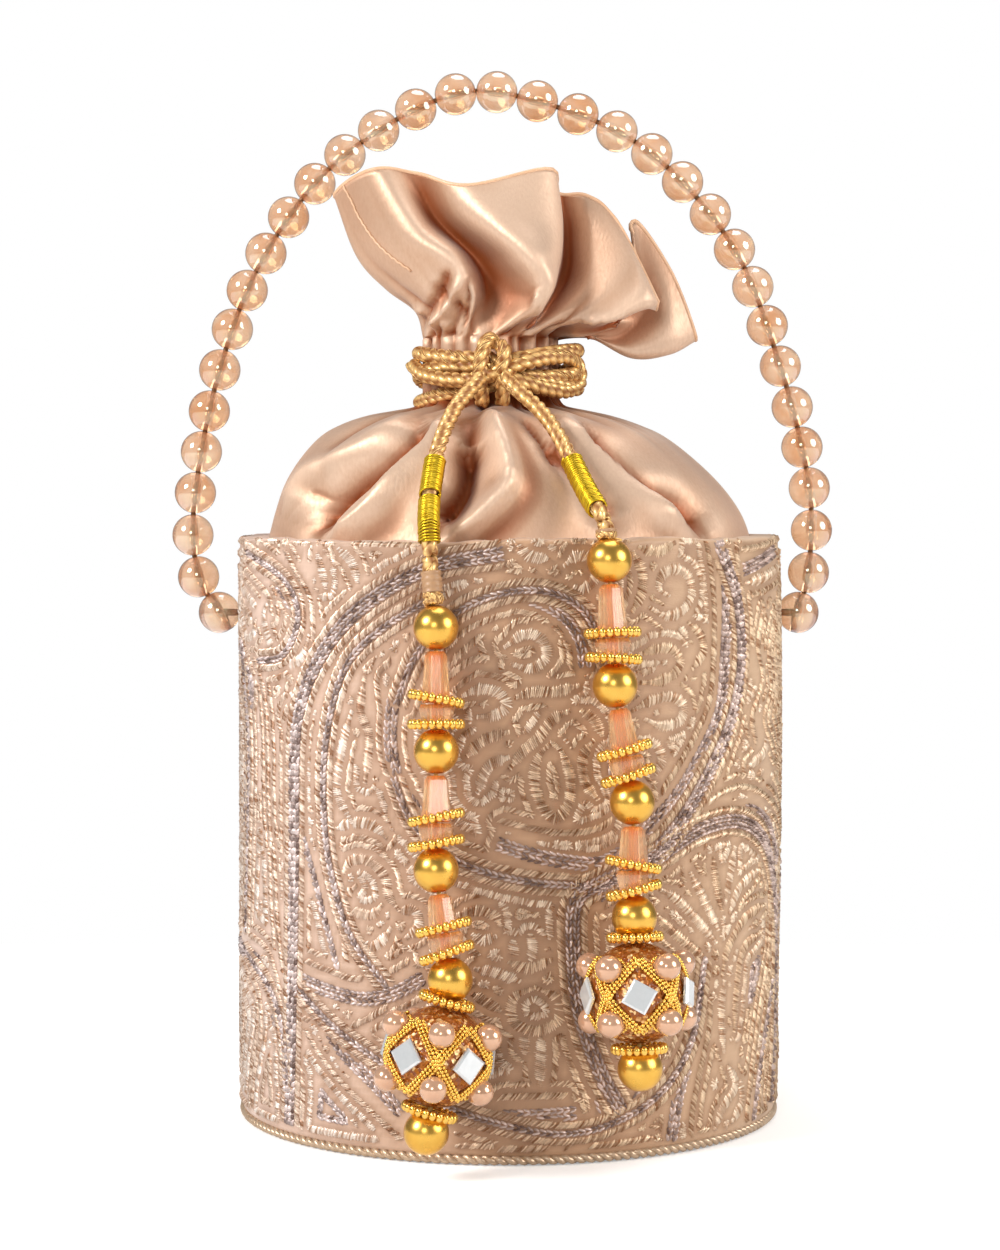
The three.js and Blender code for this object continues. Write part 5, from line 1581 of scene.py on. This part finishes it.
# Ribs of the frill: turn about the neck, then four places from a quarter of the way up to the hem.
frillRibs = [
    (-165, (-9, 17, 194), (-10, 20, 200), (-12, 22.5, 206), (-14, 24, 211)),
    (-135, (-18, 12, 194), (-22, 15, 201), (-26, 17, 207), (-29, 18, 213)),
    (-105, (-21.5, 1.5, 194), (-28, 2, 200.5), (-34, 3, 208), (-38, 4, 218)),
    (-75, (-21.5, -9, 193), (-28.5, -8, 199), (-35.5, -6, 207), (-41, -4, 221.5)),
    (-45, (-16, -18, 194), (-22, -18, 201), (-30, -14.5, 210), (-37.5, -9, 224.5)),
    (-22, (-8.5, -22, 196), (-13, -22.5, 205), (-22, -19, 212), (-31, -13, 226.3)),
    (-9, (-4.5, -15.5, 197), (-7.5, -13, 205), (-17, -12, 215), (-22, -12, 225.6)),
    (4, (7, -25, 196), (4, -26.5, 205), (-4, -22, 214), (-9, -17, 222)),
    (14, (9.5, -23.5, 195.5), (11, -21.5, 204), (11, -18, 214), (9.5, -15, 226.3)),
    (20, (9, -15, 194), (13, -9, 202), (13.5, -6, 212), (12, -5.5, 221.5)),
    (34, (13, -17, 193), (19, -15.5, 200.5), (20, -11, 210), (18.5, -7, 220.7)),
    (48, (15, -18.5, 190.8), (24, -19, 196.5), (29, -16, 204), (25.3, -9, 214.6)),
    (56, (16, -18, 189), (25, -20, 191), (32, -19, 194), (35, -16, 194)),
    (62, (16.5, -11, 188.2), (23, -8, 190.5), (28, -5, 197), (29.5, -4, 208)),
    (70, (18, -8, 187.5), (27, -5, 188.5), (33, -3, 197), (30.5, -3, 215)),
    (80, (18.5, -7.5, 187.6), (29, -6.5, 184.5), (38, -5, 190), (39, -2, 203)),
    (88, (19, -5, 187.4), (29.5, -4, 183), (38.5, -3, 184), (44.7, -1, 187.4)),
    (102, (19, 2, 187.8), (29.5, 5, 186.8), (38, 7, 190.3), (40, 8, 197)),
    (122, (16.5, 8.5, 190), (26, 12, 194), (33, 13, 199), (35, 13, 205)),
    (147, (10, 16, 192), (15, 20, 199), (19, 22, 206), (21, 22, 211)),
    (172, (0, 18, 194), (2, 22, 200), (4, 24, 206), (4, 25, 211)),
]
# Folds pressed into the cloth: points of (x, height above the rim), half width and depth. A depth below
# zero is a valley.
frontFolds = [
    ([(-5, 28), (0, 13), (-6, 5), (-14, -1)], 3.2, 3.2), ([(-9, 22), (-11, 12), (-16, 4)], 3.8, -4.4),
    ([(-12, 27), (-23, 17), (-30, 7), (-40, -1)], 4.0, 2.6),
    ([(-17, 25), (-27, 17), (-37, 11), (-44, 2)], 3.2, -3.4),
    ([(-20, 28), (-33, 20), (-47, 14), (-52, 4)], 4.2, 1.8), ([(9, 24), (17, 14), (23, 4)], 3.4, -2.4),
    ([(8, 28), (22, 19), (31, 10), (38, 1)], 4.0, 2.4),
    ([(16, 26), (30, 13), (41, 8), (46, 0)], 3.4, -2.8),
    ([(-46, 10), (-41, 10), (-36, 10)], 1.8, -0.5), ([(3, 27), (8, 22), (11, 17)], 1.5, -1.2),
    ([(-17, 58), (-13, 54), (-9, 50)], 1.4, -0.9), ([(-23, 55), (-17, 51), (-11, 47)], 1.5, 1.0),
    ([(-20, 46), (-15, 53), (-11, 60)], 1.3, 1.3), ([(-21, 50), (-17, 56), (-14, 62)], 1.3, -0.8),
    ([(-12, 44), (-10, 52), (-9, 60)], 1.2, -1.3), ([(2, 46), (6, 52), (8, 58)], 1.2, 1.2),
    ([(8, 44), (12, 48), (18, 50)], 1.2, -1.2), ([(12, 47), (20, 50), (28, 51)], 1.3, 1.2),
]
backFolds = [
    ([(4, 28), (2, 14), (8, 2)], 4, 2.6), ([(10, 26), (16, 14), (24, 2)], 4.6, -1.7),
    ([(-8, 27), (-18, 15), (-24, 2)], 5, -1.7), ([(-14, 28), (-32, 16), (-42, 2)], 4.4, 2.4),
    ([(22, 27), (36, 14), (44, 2)], 4.4, 2.2),
    ([(-20, 66), (-10, 54), (-6, 47)], 4.4, -3.6), ([(14, 70), (6, 56), (0, 47)], 4.4, -3.6),
]


def smoothstep(value, low, high):
    # From 0 at the low value to 1 at the high one.
    share = np.clip((value - low) / (high - low), 0, 1)
    return share * share * (3 - 2 * share)


def frillRib(turn):
    # The path of the cloth from the neck to the hem at one turn, smooth between the drawn ribs.
    angles = [rib[0] for rib in frillRibs]
    count = len(angles)
    angle = (math.degrees(turn) + 180) % 360 - 180
    above = sum(1 for a in angles if a <= angle)
    picked = []
    for i in range(above - 2, above + 2):
        places = np.array(frillRibs[i % count][1:], float)
        picked.append((angles[i % count] + 360 * (i // count), places))
    t = (angle - picked[1][0]) / (picked[2][0] - picked[1][0])
    return between(*(rib[1] for rib in picked), t)


def normalsOf(grid):
    # The outward direction at each point of a closed ring of rows.
    across = np.roll(grid, -1, 1) - np.roll(grid, 1, 1)
    up = np.gradient(grid, axis=0)
    normal = np.cross(across, up)
    return normal / np.maximum(np.linalg.norm(normal, axis=2, keepdims=True), 1e-9)


def oneFold(x, z, line, width, depth):
    # A drawn fold's depth at each place: a broad fold with a sharp crest, dying out at its ends.
    line = smoothLine(line, 1.0)
    near = np.full(x.shape, 1e9)
    at = np.zeros(x.shape)
    for i, (px, pz) in enumerate(line):
        gap = (x - px) ** 2 + (z - pz) ** 2
        closer = gap < near
        near[closer] = gap[closer]
        at[closer] = i / (len(line) - 1)
    ends = np.clip(np.minimum(at, 1 - at) * 5 + 0.35, 0, 1)
    distance = np.sqrt(near)
    crest = 0.65 * np.exp(-((distance / width) ** 2)) + 0.35 * np.exp(-((distance / (0.45 * width)) ** 1.5))
    return pouch["foldScale"] * depth * crest * ends


def foldDepth(grid, facing):
    # The sum of the drawn folds at each point, front and back apart.
    x, z = grid[..., 0], grid[..., 2] - drum["height"]
    total = np.zeros(x.shape)
    for folds, side in ((frontFolds, 1), (backFolds, -1)):
        total += sum(oneFold(x, z, *fold) for fold in folds) * smoothstep(facing * side, 0.02, 0.5)
    return total


def pleatDepth(turn, distance, seed):
    # Gathers that run out of the neck, each with its own width, depth and length.
    draws = np.random.default_rng(seed)
    count = pouch["pleats"]
    total = np.zeros_like(turn)
    for k in range(count):
        middle = 2 * math.pi * (k + draws.uniform(-0.3, 0.3)) / count
        width = draws.uniform(0.05, 0.1)
        depth = draws.uniform(1.0, 2.7)
        long = draws.uniform(6, 19) * (1.7 if k % 4 == 0 else 1)
        drift = draws.uniform(-0.008, 0.008)
        off = np.mod(turn - middle - drift * distance + math.pi, 2 * math.pi) - math.pi
        total -= depth * np.exp(-np.abs(off / width) ** 1.5) * np.exp(-((distance / long) ** 1.4))
    return total + 0.5


def pouchGrid():
    # Rows of plain cloth from the sewn edge to the hem, each with its zone and its distance from the neck,
    # and the turn of each column.
    sizes = pouch
    columns = sizes["columns"]
    turn = np.arange(columns) * 2 * math.pi / columns
    outward = np.stack([np.sin(turn), -np.cos(turn), np.zeros(columns)], -1)
    up = np.array([0, 0, 1.0])
    toNeck = np.array([sizes["neckX"], sizes["neckY"], 0])
    profile = smoothLine([(rise, share * sizes["edgeRadius"]) for rise, share in domeRows], 0.95)
    rows = []
    for rise, radius in profile:
        rows.append(radius * outward + up * (drum["height"] + rise) + toNeck * smoothstep(rise, 0, 30))
    lengths = np.concatenate([[0], np.cumsum(np.linalg.norm(np.diff(profile, axis=0), axis=1))])
    distances = list(lengths[-1] - lengths)
    for z in np.linspace(drum["height"] + sizes["neckStart"], sizes["neckTop"], sizes["neckRows"]):
        rows.append(sizes["neckRadius"] * outward + up * z + toNeck)
        distances.append(0.0)
    foot = sizes["neckRadius"] * outward + up * sizes["neckTop"] + toNeck
    ribs = np.array([frillRib(angle) for angle in turn])
    beyond = 2 * ribs[:, -1:] - ribs[:, -2:-1]
    stations = np.concatenate([(foot - up * 4)[:, None], foot[:, None], ribs, beyond], 1)
    for share in np.linspace(0, 1, sizes["frillRows"] + 1)[1:]:
        i = min(int(share * 4), 3)
        rows.append(between(*(stations[:, i + k] for k in range(4)), share * 4 - i))
        distances.append(share * 40)
    zones = ["dome"] * len(profile) + ["neck"] * sizes["neckRows"] + ["frill"] * sizes["frillRows"]
    return np.array(rows), np.array(zones), np.array(distances), turn


def satinPaint():
    sizes = pouch
    paint = Paint("pouch_satin", roughness=0.42)
    where = paint.place()
    # The fold value paints light on the crests and shade in the valleys of the cloth.
    fold = paint.tone("fold")
    patch = paint.noise(where, 40, 3)
    shade = (fold * 0.9 + patch * 0.15).between(0.04, 0.66)
    tint = paint.mix(shade, linear(sizes["deep"]), linear(sizes["mid"]))
    tint = paint.mix((fold + patch * 0.2).between(0.6, 1.1), tint, linear(sizes["light"]))
    weave = paint.noise(where, 1500, 2, 0.5, (1, 1, 0.45))
    tint = paint.mix(weave.between(0.3, 0.7) * 0.1, tint, linear(sizes["deep"]))
    paint.set("Base Color", tint)
    crinkle = paint.noise(where, 90, 4, 0.5)
    paint.set("Normal", paint.bump(weave, 0.00009, 0.7, paint.bump(crinkle, 0.001, 0.14)))
    paint.set("Roughness", weave * 0.18 + 0.39)
    paint.set("Metallic", 0.45)
    paint.set("Anisotropic", 0.55)
    paint.set("Sheen Weight", 0.2)
    paint.set("Sheen Roughness", 0.4)
    paint.set("Specular IOR Level", 0.5)
    return paint


def hemPaint():
    paint = Paint("hem_satin", roughness=0.38)
    paint.blend(paint.noise(paint.place(), 300, 3), pouch["hem"], pouch["hemLight"])
    paint.set("Normal", paint.bump(paint.noise(paint.place(), 1500, 2), 0.00006, 0.5))
    return paint


def pouchSurface():
    # The cloth's outer face with its folds, gathers and ripples.
    grid, zones, distances, turn = pouchGrid()
    normal = normalsOf(grid)
    sewn = smoothstep(grid[:, 0, 2], drum["height"] - 9, drum["height"] - 1)[:, None]
    neck, frill = (zones == "neck")[:, None], (zones == "frill")[:, None]
    near = np.exp(-((distances / 5.0) ** 2))[:, None]
    folds = np.where(neck, 0, foldDepth(grid, -normal[..., 1]) * (1 - 0.8 * near)) * sewn
    turns, reach = np.meshgrid(turn, distances)
    pleats = np.where(frill, pleatDepth(turns, reach, 12), pleatDepth(turns, reach, 11))
    ripple = 0.35 * np.sin(turns * 9 + 1.3 * np.sin(turns * 4)) * smoothstep(reach, 3, 25) * sewn
    depth = folds + pleats * sewn + np.where(frill, ripple * 1.4, ripple)
    return grid + normal * depth[..., None]


def hollowness(outer, facing):
    # Light on crests and dark in valleys, from how far the cloth stands off its own smoothed shape.
    smooth = outer.copy()
    for _ in range(12):
        smooth = (smooth + np.roll(smooth, 1, 1) + np.roll(smooth, -1, 1)) / 3
        smooth[1:-1] = (smooth[:-2] + smooth[1:-1] + smooth[2:]) / 3
    return np.clip(0.6 + ((outer - smooth) * facing).sum(2) * 0.75, 0, 1)


def hemAndSeam(outer, facing):
    # The rolled hem, and the seam that runs down the frill from it.
    rows, columns = outer.shape[:2]
    hem = sweep(outer[-1] - facing[-1] * 0.25, 0.5, 8, closed=True)
    seam = []
    for k in range(0, 26, 2):
        i, j = rows - 1 - k, round((pouch["seamTurn"] + 0.55 * k) / 360 * columns) % columns
        seam.append(outer[i, j] + facing[i, j] * 0.15)
    seam = smoothLine(seam, 0.6)
    seam[:, 2] += 0.15 * np.sin(np.arange(len(seam)) * 1.9)
    return joinParts([hem, sweep(seam, 0.3, 6)])


def buildPouch():
    sizes = pouch
    outer = pouchSurface()
    facing = normalsOf(outer)
    inner = outer - facing * sizes["cloth"]
    rows, columns = outer.shape[:2]
    count = rows * columns
    outside = gridFaces(rows, columns)
    inside = gridFaces(rows, columns, flip=True) + count
    first = np.arange(columns)
    after = np.roll(first, -1)
    last = count - columns
    sewnEdge = np.stack([after, first, first + count, after + count], -1)
    openEdge = np.stack([first + last, after + last, after + last + count, first + last + count], -1)
    points = np.concatenate([outer.reshape(-1, 3), inner.reshape(-1, 3)])
    fold = hollowness(outer, facing).ravel()
    # The inner face is painted darker, painted shade inside the cloth.
    fold = np.concatenate([fold, np.clip(fold - 0.25, 0, 1)])
    faces = [np.concatenate([outside, inside, sewnEdge, openEdge])]
    piece = makePiece("pouch_satin", (points, faces), satinPaint(), "drum", scalars={"fold": fold},
                      stands=["satin_pouch"])
    hemPiece = makePiece("frill_hem", hemAndSeam(outer, facing), hemPaint(), "drum")
    print("pouch done")


paints = {
    "gold": goldPaint(), "peach": peachPaint(), "glitter": glitterPaint(), "frame": framePaint(),
    "pearl": pearlPaint(), "mirror": mirrorPaint(), "thread": threadPaint(), "rope": ropePaint(),
    "bullion": bullionPaint(), "tape": tapePaint(),
}
buildCover(buildEmbroidery())
buildBase()
buildPouch()
buildHandle()
ends = {strand["side"]: buildStrand(strand, paints) for strand in strands}
buildTieCord(ends, paints)
